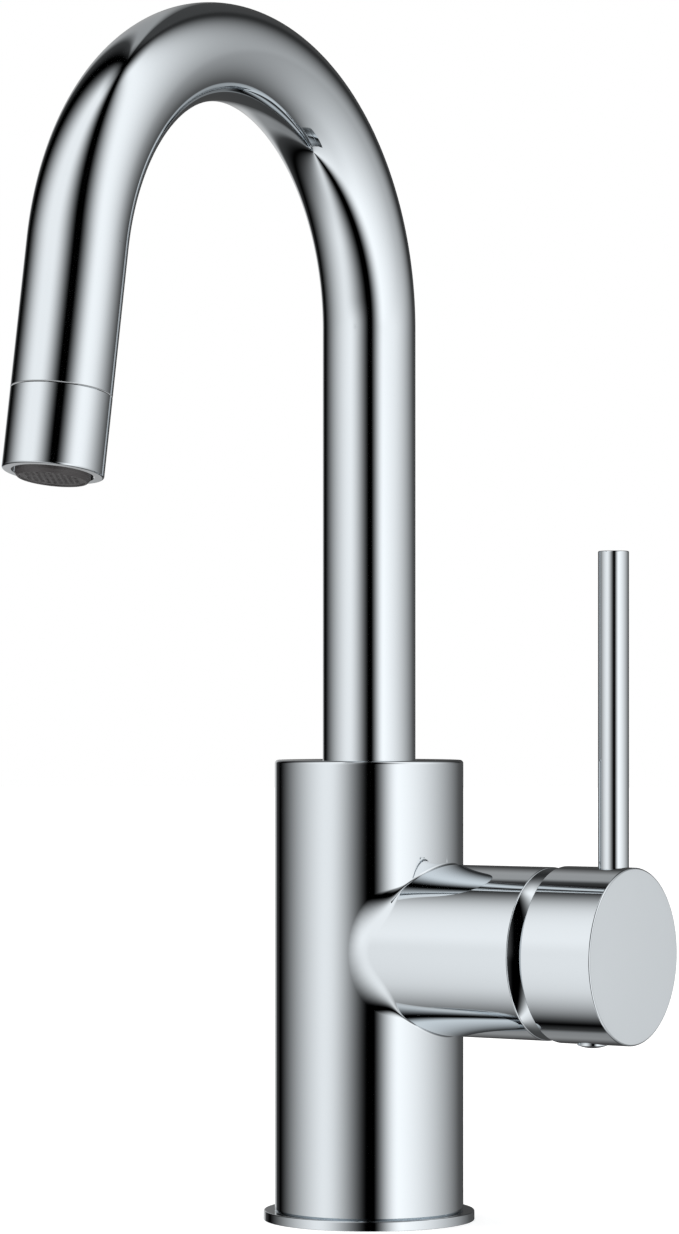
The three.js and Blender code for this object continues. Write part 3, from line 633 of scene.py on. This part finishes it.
def flange():
    """The thin flange, with a groove for its seal underneath."""
    strips = outline(
        [
            (SHANK_BORE, 0, 0.2 * MM),
            (SEAL_INNER - CLEARANCE, 0),
            (SEAL_INNER - CLEARANCE, SEAL_GROOVE),
            (SEAL_OUTER + CLEARANCE, SEAL_GROOVE),
            (SEAL_OUTER + CLEARANCE, 0),
            (flange_high.y, 0, 0.15 * MM),
            (flange_high.y, flange_high.z, FINE_EDGE),
            (SHANK_BORE, flange_high.z, 0.2 * MM),
        ]
    )
    turned_piece("polished_flange", "deck_flange", strips)


flange()
washer("flange_ring_seal", "flange_seal", SEAL_INNER, 0.4 * MM)
washer("rubber_washer", "deck_washer_rubber", SHANK_BORE, 0.6 * MM)
washer("steel_washer", "deck_washer_steel", SHANK_BORE, 0.25 * MM)


def clamp_nut():
    """A hexagon nut, chamfered at both faces and at both ends of its bore."""
    low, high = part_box("mounting_nut")
    flat = high.x
    lead = 0.8 * MM
    chamfer_start = flat * 0.96
    chamfer = math.radians(28)
    facets = 96
    angles = np.linspace(0, TURN, facets, endpoint=False)
    sixth = TURN / 6
    edge = flat / np.cos((angles + sixth / 2) % sixth - sixth / 2)
    fall = (edge - chamfer_start) * math.tan(chamfer)
    level = np.ones_like(angles)
    rows = [
        (SHANK_BORE + lead, low.z),
        (chamfer_start, low.z),
        (edge, low.z + fall),
        (edge, high.z - fall),
        (chamfer_start, high.z),
        (SHANK_BORE + lead, high.z),
        (SHANK_BORE, high.z - lead),
        (SHANK_BORE, low.z + lead),
        (SHANK_BORE + lead, low.z),
    ]
    rings = [
        np.stack([radius * np.cos(angles), radius * np.sin(angles), height * level], axis=-1)
        for radius, height in rows
    ]
    skin = Skin()
    for inner, outer in zip(rings, rings[1:]):
        grid = np.stack([inner, outer])
        across, along = np.roll(inner, -1, axis=0) - inner, outer - inner
        out = np.cross(across, along)
        out /= np.linalg.norm(out, axis=-1, keepdims=True)
        for i in range(facets):
            pair = [i, (i + 1) % facets]
            skin.patch(grid[:, pair], out[i], wrap=False)
    piece = skin.mesh("clamp_nut")
    stands_for(piece, "mounting_nut")


clamp_nut()

# ---------------------------------------------------------------- Geometry Nodes


class Growth(Nodes):
    """A Geometry Nodes tree with named inputs, which ends in Realize Instances and Set Material."""

    def __init__(self, name, inputs):
        tree = bpy.data.node_groups.new(name, "GeometryNodeTree")
        super().__init__(tree)
        tree.interface.new_socket("Geometry", in_out="OUTPUT", socket_type="NodeSocketGeometry")
        for label in inputs:
            tree.interface.new_socket(label, in_out="INPUT", socket_type="NodeSocketFloat")
        tree.interface.new_socket("Material", in_out="INPUT", socket_type="NodeSocketMaterial")
        self.inputs = tree.nodes.new("NodeGroupInput")

    def __getitem__(self, label):
        return Value(self, self.inputs.outputs[label])

    def end(self, geometry):
        real = self.add("GeometryNodeRealizeInstances", {}, {"Geometry": geometry})
        smooth = self.add("GeometryNodeSetShadeSmooth", {}, {0: real})
        done = self.add("GeometryNodeSetMaterial", {}, {"Geometry": smooth, "Material": self["Material"]})
        self.make("NodeGroupOutput", {}, {"Geometry": done})
        return self.tree

    def unit_grid(self, columns, rows):
        """A flat grid, and each point's place on it from -0.5 to 0.5, across and along."""
        sizes = {"Size X": 1.0, "Size Y": 1.0, "Vertices X": columns, "Vertices Y": rows}
        grid = self.add("GeometryNodeMeshGrid", {}, sizes)
        apart = self.make("ShaderNodeSeparateXYZ", {}, {0: self.add("GeometryNodeInputPosition")})
        return grid, Value(self, apart.outputs["X"]), Value(self, apart.outputs["Y"])

    def cylinder(self, facets, radius, depth):
        sizes = {"Vertices": facets, "Radius": radius, "Depth": depth}
        return self.add("GeometryNodeMeshCylinder", {}, sizes)

    def moved(self, geometry, x, y, z):
        place = self.add("ShaderNodeCombineXYZ", {}, {"X": x, "Y": y, "Z": z})
        return self.add("GeometryNodeSetPosition", {}, {"Geometry": geometry, "Position": place})


def grown(name, node, tree, sizes, wall=None, place=None, sharp=math.radians(50)):
    """A piece that stands for a solid: the plain mesh that a tree makes from these sizes, with the
    wall that a Solidify modifier gives it. Faces at more than the sharp angle keep their edge."""
    piece = bpy.data.objects.new(name, bpy.data.meshes.new(name))
    bpy.context.scene.collection.objects.link(piece)
    growth = piece.modifiers.new("growth", "NODES")
    growth.node_group = tree
    values = {**sizes, "Material": FINISHES[slot_of[node]]}
    for item in tree.interface.items_tree:
        if item.in_out == "INPUT":
            growth[item.identifier] = values[item.name]
    if wall:
        solidify = piece.modifiers.new("wall", "SOLIDIFY")
        solidify.thickness = wall
        solidify.offset = -1.0
        solidify.use_even_offset = True
    depsgraph = bpy.context.evaluated_depsgraph_get()
    mesh = bpy.data.meshes.new_from_object(piece.evaluated_get(depsgraph), depsgraph=depsgraph)
    piece.modifiers.clear()
    piece.data = mesh
    if place:
        mesh.transform(place)
    mesh.set_sharp_from_angle(angle=sharp)
    stands_for(piece, node)


# ---------------------------------------------------------------- spout


def gooseneck_tree():
    """A tube straight up, round the bend and down the leaning leg."""
    inputs = ["Foot", "Bend Height", "Bend Radius", "Sweep", "Leg", "Radius", "Places", "Facets"]
    growth = Growth("gooseneck", inputs)
    rise = growth["Bend Height"] - growth["Foot"]
    bend = growth["Bend Radius"] * growth["Sweep"]
    length = rise + bend + growth["Leg"]
    index = growth.add("GeometryNodeInputIndex")
    walked = length * index / (growth["Places"] - 1)
    straight = walked.call("MINIMUM", rise)
    angle = ((walked - rise) / growth["Bend Radius"]).held(0.0, growth["Sweep"])
    down = (walked - rise - bend).call("MAXIMUM", 0.0)
    forward = growth["Bend Radius"] * (angle.call("COSINE") - 1) - down * angle.call("SINE")
    height = growth["Foot"] + straight + growth["Bend Radius"] * angle.call("SINE")
    height = height + down * angle.call("COSINE")
    line = growth.add("GeometryNodeMeshLine", {}, {"Count": growth["Places"]})
    curve = growth.add("GeometryNodeMeshToCurve", {}, {"Mesh": growth.moved(line, 0.0, forward, height)})
    profile = {"Resolution": growth["Facets"], "Radius": growth["Radius"]}
    circle = growth.add("GeometryNodeCurvePrimitiveCircle", {}, profile)
    tube = growth.add("GeometryNodeCurveToMesh", {}, {"Curve": curve, "Profile Curve": circle})
    return growth.end(tube)


BEND_TAIL = 0.2 * MM  # straight end of the bend's piece, which the piece of the leg laps over
BEND_PLACES = 361


def gooseneck():
    """The riser and the bend, with the tube's wall."""
    sizes = {
        "Foot": tube_low.z,
        "Bend Height": BEND_HEIGHT,
        "Bend Radius": BEND_RADIUS,
        "Sweep": BEND_SWEEP,
        "Leg": BEND_TAIL,
        "Radius": tube_radius,
        "Places": float(BEND_PLACES),
        "Facets": float(TUBE_ROUND),
    }
    grown("gooseneck_tube", "spout_tube", gooseneck_tree(), sizes, wall=TUBE_WALL)


gooseneck()

# From a frame at the outlet whose Z runs back up the leaning leg
lean = math.pi - BEND_SWEEP
OUTLET = Matrix.Translation(
    (
        0,
        -BEND_RADIUS * (1 + math.cos(lean)) - LEG_LENGTH * math.sin(lean),
        BEND_HEIGHT + BEND_RADIUS * math.sin(lean) - LEG_LENGTH * math.cos(lean),
    )
) @ Matrix.Rotation(-lean, 4, "X")


def leg():
    """The tube's straight leg, a piece of its own so that reflections can leave it out."""
    edge = 0.12 * MM
    strips = outline(
        [
            (tube_radius - TUBE_WALL, NOZZLE_LENGTH, edge),
            (tube_radius, NOZZLE_LENGTH, edge),
            (tube_radius, LEG_LENGTH),
            (tube_radius - TUBE_WALL, LEG_LENGTH),
        ]
    )
    return turned_piece("straight_leg", "spout_tube", strips, OUTLET, TUBE_ROUND)


straight_leg = leg()

AERATOR_RADIUS = 9.7 * MM
AERATOR_NECK = 9.3 * MM
AERATOR_FACE = 8.6 * MM
AERATOR_DROP = 1.5 * MM
AERATOR_TOP = 12.7 * MM
AERATOR_BORE = 8.0 * MM
NOZZLE_PLUG = 11.0 * MM
NOZZLE_PLUG_LENGTH = 10.0 * MM
NOZZLE_WATERWAY = 8.0 * MM
NOZZLE_CHAMBER = 14.6 * MM


def nozzle():
    """The sleeve at the outlet, whose plug sits in the leg and whose chamber holds the aerator."""
    top = NOZZLE_LENGTH - SEAM
    strips = outline(
        [
            (AERATOR_RADIUS + CLEARANCE, 0, 0.25 * MM),
            (tube_radius, 0, 0.5 * MM),
            (tube_radius, top - SEAM_CHAMFER),
            (tube_radius - SEAM_CHAMFER, top),
            (NOZZLE_PLUG, top),
            (NOZZLE_PLUG, top + NOZZLE_PLUG_LENGTH, 0.4 * MM),
            (NOZZLE_WATERWAY, top + NOZZLE_PLUG_LENGTH, 0.3 * MM),
            (NOZZLE_WATERWAY, NOZZLE_CHAMBER),
            (AERATOR_RADIUS + CLEARANCE, NOZZLE_CHAMBER),
        ]
    )
    turned_piece("nozzle", "nozzle_sleeve", strips, OUTLET)


nozzle()

# ---------------------------------------------------------------- bonnet


def bonnet():
    """A ring whose dome is centred on the tilt axis, so that the hub passes over it."""
    skirt = MOUTH_RADIUS - CLEARANCE
    inner = skirt - 1.9 * MM
    mouth = 12.0 * MM
    skirt_foot, cap = bonnet_low.x, bonnet_high.x
    under = cap - 1.5 * MM
    shoulder = branch_end + 0.05 * MM
    dome_foot = branch_end + 0.06 * MM
    dome_start = math.asin((dome_foot - TILT_AXIS) / DOME_RADIUS)
    dome_end = math.asin((DOME_TOP - TILT_AXIS) / DOME_RADIUS)
    start_radius = DOME_RADIUS * math.cos(dome_start)
    end_radius = DOME_RADIUS * math.cos(dome_end)
    slope = (end_radius - mouth) / (cap - DOME_TOP)
    below = outline(
        [
            (end_radius, DOME_TOP),
            (mouth, cap, 0.3 * MM),
            (mouth, under),
            (inner, under - (inner - mouth) / slope),
            (inner, skirt_foot, 0.2 * MM),
            (skirt, skirt_foot, 0.2 * MM),
            (skirt, shoulder),
            (start_radius, shoulder),
            (start_radius, dome_foot),
        ],
        closed=False,
    )
    dome = arc((0, TILT_AXIS), DOME_RADIUS, dome_start, dome_end, 12)
    turned_piece("bonnet", "bonnet_dome", [dome, *below], BRANCH_LINE)


bonnet()

# ---------------------------------------------------------------- lever

ROD_HOLE = rod_radius + 0.12 * MM
ROD_SOCKET = 10.0 * MM
PLUG_SEAT_RADIUS = 4.25 * MM
PLUG_SEAT_DEPTH = 0.85 * MM
SCREW_HOLE = 2.2 * MM
SCREW_HOLE_END = 5.0 * MM  # from the branch's line
HUB_BACK_EDGE = 0.2 * MM
HOLLOW_FLOOR = 66.5 * MM


def drilled(skin, sector_angles, places, place, radius, depth, inner_radius=0):
    """A sector of the hub's wall with a round hole drilled square to the branch, and with a
    narrower one in its floor where an inner radius is given."""
    centre = sector_angles[len(sector_angles) // 2]

    def rim(bearing):
        turned = np.arcsin(radius * np.sin(bearing) / hub_radius)
        return centre + turned, place + radius * np.cos(bearing)

    bearings = skin.pierced_wall(hub_radius, sector_angles, places, (centre, place), rim, rings=10)
    angle, along = rim(bearings)
    up = np.array((math.cos(centre), math.sin(centre), 0))
    side = np.array((-math.sin(centre), math.cos(centre), 0))
    edge = hub_radius * np.stack([np.cos(angle), np.sin(angle), 0 * angle], axis=-1)
    edge = edge + along[:, None] * AHEAD
    out = np.sin(bearings)[:, None] * side + np.cos(bearings)[:, None] * AHEAD
    seat = hub_radius - depth
    floor = seat * up + place * AHEAD + radius * out
    skin.patch(np.stack([edge, floor]), -out)
    if inner_radius:
        inner = floor + (inner_radius - radius) * out
        skin.patch(np.stack([floor, inner]), up)
        deep = inner - (seat - SCREW_HOLE_END) * up
        skin.patch(np.stack([inner, deep]), -out)
        floor = deep
    middle = (floor @ up)[0] * up + place * AHEAD
    skin.patch(np.stack([floor, 0 * floor + middle]), up)


def hub_ends():
    """The front face and its edge, and the hollow back that passes over the bonnet."""
    front_rim, back_rim = hub_radius - HUB_EDGE, hub_radius - HUB_BACK_EDGE
    back_angle = math.asin((hub_back - TILT_AXIS) / HUB_HOLLOW)
    floor_angle = math.asin((HOLLOW_FLOOR - TILT_AXIS) / HUB_HOLLOW)
    hollow_rim = HUB_HOLLOW * math.cos(back_angle)
    floor_rim = HUB_HOLLOW * math.cos(floor_angle)
    return [
        arc((front_rim, hub_front - HUB_EDGE), HUB_EDGE, 0, QUARTER, 6),
        arc((back_rim, hub_back + HUB_BACK_EDGE), HUB_BACK_EDGE, -QUARTER, 0, 4),
        *outline([(front_rim, hub_front), (0, hub_front)], closed=False),
        *outline([(hollow_rim, hub_back), (back_rim, hub_back)], closed=False),
        arc((0, TILT_AXIS), HUB_HOLLOW, back_angle, floor_angle, 14, inward=True),
        *outline([(0, HOLLOW_FLOOR), (floor_rim, HOLLOW_FLOOR)], closed=False),
    ]


def hub():
    """The round hub, with a hole for the rod on top, and underneath the button's round seat and
    the screw's hole."""
    skin = Skin(BRANCH_LINE)
    angles = np.linspace(0, TURN, ROUND, endpoint=False)
    ring = np.append(angles, TURN)
    places = np.linspace(hub_back + HUB_BACK_EDGE, hub_front - HUB_EDGE, HUB_ROWS + 1)
    sector = ROUND // 8  # half the width, in facets, of the sector round a hole
    top, bottom = ROUND // 4, 3 * ROUND // 4
    above = ring[top - sector : top + sector + 1]
    left = ring[top + sector : bottom - sector + 1]
    under = ring[bottom - sector : bottom + sector + 1]
    right = np.concatenate([ring[bottom + sector : -1] - TURN, ring[: top - sector + 1]])
    drilled(skin, above, places, rod_place, ROD_HOLE, ROD_SOCKET)
    drilled(skin, under, places, plug_place, PLUG_SEAT_RADIUS, PLUG_SEAT_DEPTH, SCREW_HOLE)
    skin.wall(hub_radius, left, places)
    skin.wall(hub_radius, right, places)
    skin.turn(hub_ends(), angles)
    stands_for(skin.mesh("lever_hub"), "handle_hub")


hub()


def rod_part(name, low, high, foot_edge=0, top_edge=0):
    """A length of the round rod between two heights."""
    corners = [(0, low), (rod_radius, low, foot_edge), (rod_radius, high, top_edge), (0, high)]
    place = Matrix.Translation((rod_place, 0, 0))
    return turned_piece(name, "lever_rod", outline(corners, closed=False), place, SMALL_ROUND)


# The rod is cut at the hub's crown, so that reflections can leave out its slender part.
hub_crown = branch_height + hub_radius
rod_part("rod_foot", rod_low.z, hub_crown, foot_edge=0.3 * MM)
slender_rod = rod_part("slender_rod", hub_crown, rod_high.z, top_edge=FINE_EDGE)


def hub_button():
    """The small domed button that closes the screw's hole under the hub."""
    radius = plug_high.y
    screw = 2.0 * MM
    seat = hub_radius - 0.8 * MM
    flatter = 0.3 * MM  # than its solid
    crown = branch_height - plug_low.z - flatter
    edge = crown - 0.8 * MM
    bulge = (radius**2 + (crown - edge) ** 2) / (2 * (crown - edge))
    start = math.asin((edge - crown + bulge) / bulge)
    place = Matrix.Translation((plug_place, 0, branch_height)) @ Matrix.Rotation(math.pi, 4, "X")
    strips = outline(
        [
            (0, branch_height - plug_high.z),
            (screw, branch_height - plug_high.z, 0.2 * MM),
            (screw, seat),
            (radius, seat, 0.1 * MM),
            (radius, edge),
        ],
        closed=False,
    )
    strips.append(arc((0, crown - bulge), bulge, start, QUARTER, 10))
    turned_piece("hub_button", "screw_plug", strips, place, SMALL_ROUND)


hub_button()

# ---------------------------------------------------------------- threads


def thread_tree():
    """A tube with a helical thread outside and a plain bore, as one grid bent into a ring."""
    inputs = ["Low", "High", "Root", "Depth", "Pitch", "Bore", "Columns", "Rows"]
    growth = Growth("threaded_tube", inputs)
    grid, across, along = growth.unit_grid(growth["Columns"], growth["Rows"] + 4)
    share = across + 0.5
    row = (along + 0.5) * (growth["Rows"] + 3)
    step = ((row - 1) / growth["Rows"]).held(0.0, 1.0)
    outside = (row > 0.5) * (row < growth["Rows"] + 1.5)
    back_at_start = row > growth["Rows"] + 2.5
    height = growth["Low"] + (growth["High"] - growth["Low"]) * step * (1 - back_at_start)
    phase = (height / growth["Pitch"] + share).call("FRACT")
    flank = 1.15 - 2.6 * (phase - 0.5).call("ABSOLUTE")
    tooth = flank.held(0.0, 1.0)  # with a flat crest and a flat root
    ends = (height - growth["Low"]).call("MINIMUM", growth["High"] - height)
    faded = tooth * (ends / growth["Pitch"]).ramp(0.0, 1.0)
    outer = growth["Root"] + growth["Depth"] * faded
    radius = growth["Bore"] + (outer - growth["Bore"]) * outside
    angle = share * TURN
    bent = growth.moved(grid, radius * angle.call("COSINE"), radius * angle.call("SINE"), height)
    return growth.end(growth.add("GeometryNodeMergeByDistance", {}, {"Geometry": bent, "Distance": 1e-6}))


def shank():
    """The threaded tube through the counter."""
    pitch = 2.0 * MM
    depth = 1.1 * MM
    rows_a_turn = 8
    turns = (shank_high.z - shank_low.z) / pitch
    sizes = {
        "Low": shank_low.z,
        "High": shank_high.z,
        "Root": shank_high.y - depth,
        "Depth": depth,
        "Pitch": pitch,
        "Bore": 13.2 * MM,
        "Columns": 97.0,
        "Rows": float(round(turns * rows_a_turn)),
    }
    grown("threaded_shank", "mounting_shank", thread_tree(), sizes)


shank()

# ---------------------------------------------------------------- aerator


def perforated_tree():
    """A round plate with a honeycomb of holes."""
    growth = Growth("perforated_plate", ["Radius", "Low", "High", "Pitch", "Hole", "Count"])
    thickness = growth["High"] - growth["Low"]
    plate = growth.cylinder(SMALL_ROUND, growth["Radius"], thickness)
    count = growth["Count"]
    grid, across, along = growth.unit_grid(count, count)
    column, row = across * (count - 1), along * (count - 1)
    x = growth["Pitch"] * (column + row / 2)
    y = growth["Pitch"] * row * math.sqrt(0.75)
    spread = growth.moved(grid, x, y, 0.0)
    place = growth.add("GeometryNodeInputPosition")
    reach = growth.add("ShaderNodeVectorMath", {"operation": "LENGTH"}, {0: place}, "Value")
    outside = reach > growth["Radius"] - growth["Pitch"] * 0.75
    kept = growth.add("GeometryNodeDeleteGeometry", {}, {"Geometry": spread, "Selection": outside})
    drill = growth.cylinder(12, growth["Hole"], thickness * 2)
    drills = growth.add("GeometryNodeInstanceOnPoints", {}, {"Points": kept, "Instance": drill})
    real = growth.add("GeometryNodeRealizeInstances", {}, {"Geometry": drills})
    meshes = {"Mesh 1": plate, "Mesh 2": real}
    holed = growth.add("GeometryNodeMeshBoolean", {"operation": "DIFFERENCE"}, meshes)
    middle = (growth["Low"] + growth["High"]) / 2
    shift = growth.add("ShaderNodeCombineXYZ", {}, {"Z": middle})
    return growth.end(growth.add("GeometryNodeTransform", {}, {"Geometry": holed, "Translation": shift}))


def aerator_ring():
    """The aerator's cup, whose slimmer neck stands out of the nozzle."""
    inner = AERATOR_RADIUS - 1.1 * MM
    neck_top = 1.2 * MM
    floor = 0.1 * MM
    strips = outline(
        [
            (AERATOR_BORE, -AERATOR_DROP, 0.15 * MM),
            (AERATOR_FACE, -AERATOR_DROP, 0.2 * MM),
            (AERATOR_NECK, -AERATOR_DROP + 0.9 * MM, 0.2 * MM),
            (AERATOR_NECK, neck_top),
            (AERATOR_RADIUS, neck_top, 0.1 * MM),
            (AERATOR_RADIUS, AERATOR_TOP, 0.3 * MM),
            (inner, AERATOR_TOP, 0.3 * MM),
            (inner, floor),
            (AERATOR_BORE, floor),
        ]
    )
    turned_piece("aerator_ring", "aerator_cage", strips, OUTLET)


def aerator_face():
    """The perforated plate that the water leaves by."""
    sizes = {
        "Radius": AERATOR_BORE + 0.2 * MM,
        "Low": -AERATOR_DROP + 0.35 * MM,
        "High": 0.0,
        "Pitch": 1.7 * MM,
        "Hole": 0.62 * MM,
        "Count": 15.0,
    }
    sharp = math.radians(30)
    grown("aerator_face", "aerator_cage", perforated_tree(), sizes, place=OUTLET, sharp=sharp)


aerator_ring()
aerator_face()

# ---------------------------------------------------------------- inner pieces and reflections

# The pieces inside keep their solids and get the finishes of their slots.
for node, solid in frame["nodes"].items():
    if not solid.hide_render:
        for material_slot in solid.material_slots:
            material_slot.material = FINISHES[slot_of[node]]

# What is under the counter and at the outlet, and the slender pieces that would draw hairlines
# across the polished ones, stay out of reflections.
UNREFLECTED = ["mounting_shank", "deck_washer_rubber", "deck_washer_steel", "mounting_nut"]
UNREFLECTED += ["flange_seal", "nozzle_sleeve", "aerator_cage", "aerator_screen", "aerator_seal"]
unreflected = [straight_leg, slender_rod]
for node in UNREFLECTED:
    unreflected += [frame["nodes"][node], *pieces_of.get(node, [])]
for piece in unreflected:
    piece.visible_glossy = False

# ---------------------------------------------------------------- studio

WHITE = (1.0, 1.0, 1.0)
PLAIN_LEVEL = 0.8  # of the light that dull surfaces get from all sides
STUDIO_LEVEL = 1.39  # of the soft lights that polished ones show
CARD_LEVEL = 0.625  # of the card that the hub's end shows


def degrees(*angles):
    return [math.radians(angle) for angle in angles]


def studio_level(right, rise):
    """Light from a bearing, right of the camera, and a height: two tall soft lights, left and
    right of the camera, with a dark gap between them, and behind the object a dark backdrop with
    a bright slit."""
    left = -right
    behind = right.call("ABSOLUTE").ramp(*degrees(138, 160))

    def between(low, high, start, end):
        """A level that changes with the height above the horizon."""
        return low + (high - low) * rise.ramp(*degrees(start, end))

    left_start = between(left.ramp(*degrees(3, 64)), left.ramp(*degrees(1, 50)), -9, 6)
    left_end = between(left.ramp(*degrees(141, 42)) * 0.92, left.ramp(*degrees(133, 64)) * 0.89, 2, 20)
    right_start = between(right.ramp(*degrees(5, 37)), right.ramp(*degrees(10, 58)), 4, 18)
    right_end = between(right.ramp(*degrees(168, 13)) * 1.11, right.ramp(*degrees(152, 58)) * 0.97, 0, 10)
    slit_level = rise.ramp(*degrees(-30, -8), 0.2, 0.43) * rise.ramp(*degrees(2, 16), 1.0, 0.6)
    slit = left.ramp(*degrees(154, 164)) * left.ramp(*degrees(182, 172)) * slit_level
    lights = left_start * left_end + right_start * right_end + slit + behind * 0.05
    dark_ceiling = rise.ramp(*degrees(88, 72))
    dimmer_ground = rise.ramp(*degrees(-60, -35), 0.85, 1.0)
    return lights * dark_ceiling * dimmer_ground * STUDIO_LEVEL


def make_studio():
    """The world: the studio for what polished metal mirrors, and plain white for all else."""
    world = bpy.data.worlds.new("studio")
    bpy.context.scene.world = world
    world.use_nodes = True
    nodes = Nodes(world.node_tree)
    direction = nodes.add("ShaderNodeTexCoord", output="Generated")
    right = nodes.dot(direction, RIGHTWARD).call("ARCTAN2", nodes.dot(direction, TOWARD_EYE))
    rise = nodes.dot(direction, Vector((0, 0, 1))).call("ARCSINE")
    level = studio_level(right, rise)
    ray = nodes.make("ShaderNodeLightPath")
    glossy = Value(nodes, ray.outputs["Is Glossy Ray"])
    seen = Value(nodes, ray.outputs["Is Camera Ray"]) + Value(nodes, ray.outputs["Is Transmission Ray"])
    plain = seen.call("MINIMUM", 1.0).ramp(0.0, 1.0, PLAIN_LEVEL, 1.0)
    strength = plain + (level - plain) * glossy
    background = nodes.add("ShaderNodeBackground", {}, {"Color": (*WHITE, 1.0), "Strength": strength})
    nodes.make("ShaderNodeOutputWorld", {}, {"Surface": background})


def make_floor():
    """A plain pale counter with the hole that the shank goes through."""
    skin = Skin()
    for inner, outer in ((17.5 * MM, 0.3), (0.3, 6.0)):
        skin.turn([[(inner, 0, 0, 1), (outer, 0, 0, 1)]])
    floor = skin.mesh("counter")
    finish = Finish("pale_counter")
    cloud = finish.noise(0.4, detail=2.0)
    colour = finish.blend(cloud, (0.80, 0.80, 0.80), (0.83, 0.83, 0.83))
    ray = finish.make("ShaderNodeLightPath")
    direct = ("Is Camera Ray", "Is Glossy Ray", "Is Transmission Ray")
    seen = sum((Value(finish, ray.outputs[name]) for name in direct), 0.0)
    lift = finish.blend(seen.call("MINIMUM", 1.0), (0.0, 0.0, 0.0), (0.5, 0.5, 0.5))
    sockets = {"Base Color": colour, "Roughness": 0.9}
    sockets |= {"Emission Color": lift, "Emission Strength": 1.0}
    floor.data.materials.append(finish.surface(sockets))
    floor.visible_glossy = False


def make_lamp(name, shape, size, power, place, aim):
    """A soft lamp at a place, turned to what it aims at."""
    data = bpy.data.lights.new(name, "AREA")
    data.shape = shape
    data.size, data.size_y = size
    data.energy = power
    lamp = bpy.data.objects.new(name, data)
    lamp.location = place
    lamp.rotation_euler = (Vector(place) - Vector(aim)).to_track_quat("Z", "Y").to_euler()
    lamp.visible_camera = False
    bpy.context.scene.collection.objects.link(lamp)
    return lamp


def light_object():
    """One large soft lamp overhead, which shades the counter and the dull pieces, and a small
    card beside the lever that only the polished end of its hub shows."""
    overhead = make_lamp("overhead", "DISK", (1.6, 1.6), 9.0, (0.3, -0.4, 1.8), (0, 0, 0.2))
    overhead.visible_glossy = False
    hub_end = Vector((hub_front, 0, branch_height))
    mirrored_eye = Vector((2 * hub_front - EYE.x, EYE.y, EYE.z))
    card_place = hub_end + 0.35 * (hub_end - mirrored_eye).normalized()
    card_aim = hub_end + Vector((-16 * MM, 9 * MM, 0))  # off its middle, so that the end shades
    width, height = 36 * MM, 63 * MM
    half_spread = math.radians(15)
    gain = math.tan(half_spread) / (math.tan(half_spread) - half_spread)  # of a narrower spread
    card_power = CARD_LEVEL * math.pi * (math.pi / 4 * width * height) / gain
    card = make_lamp("hub_card", "ELLIPSE", (width, height), card_power, card_place, card_aim)
    card.data.spread = 2 * half_spread
    card.visible_diffuse = False


make_studio()
make_floor()
light_object()
bpy.context.scene.view_settings.view_transform = "Standard"
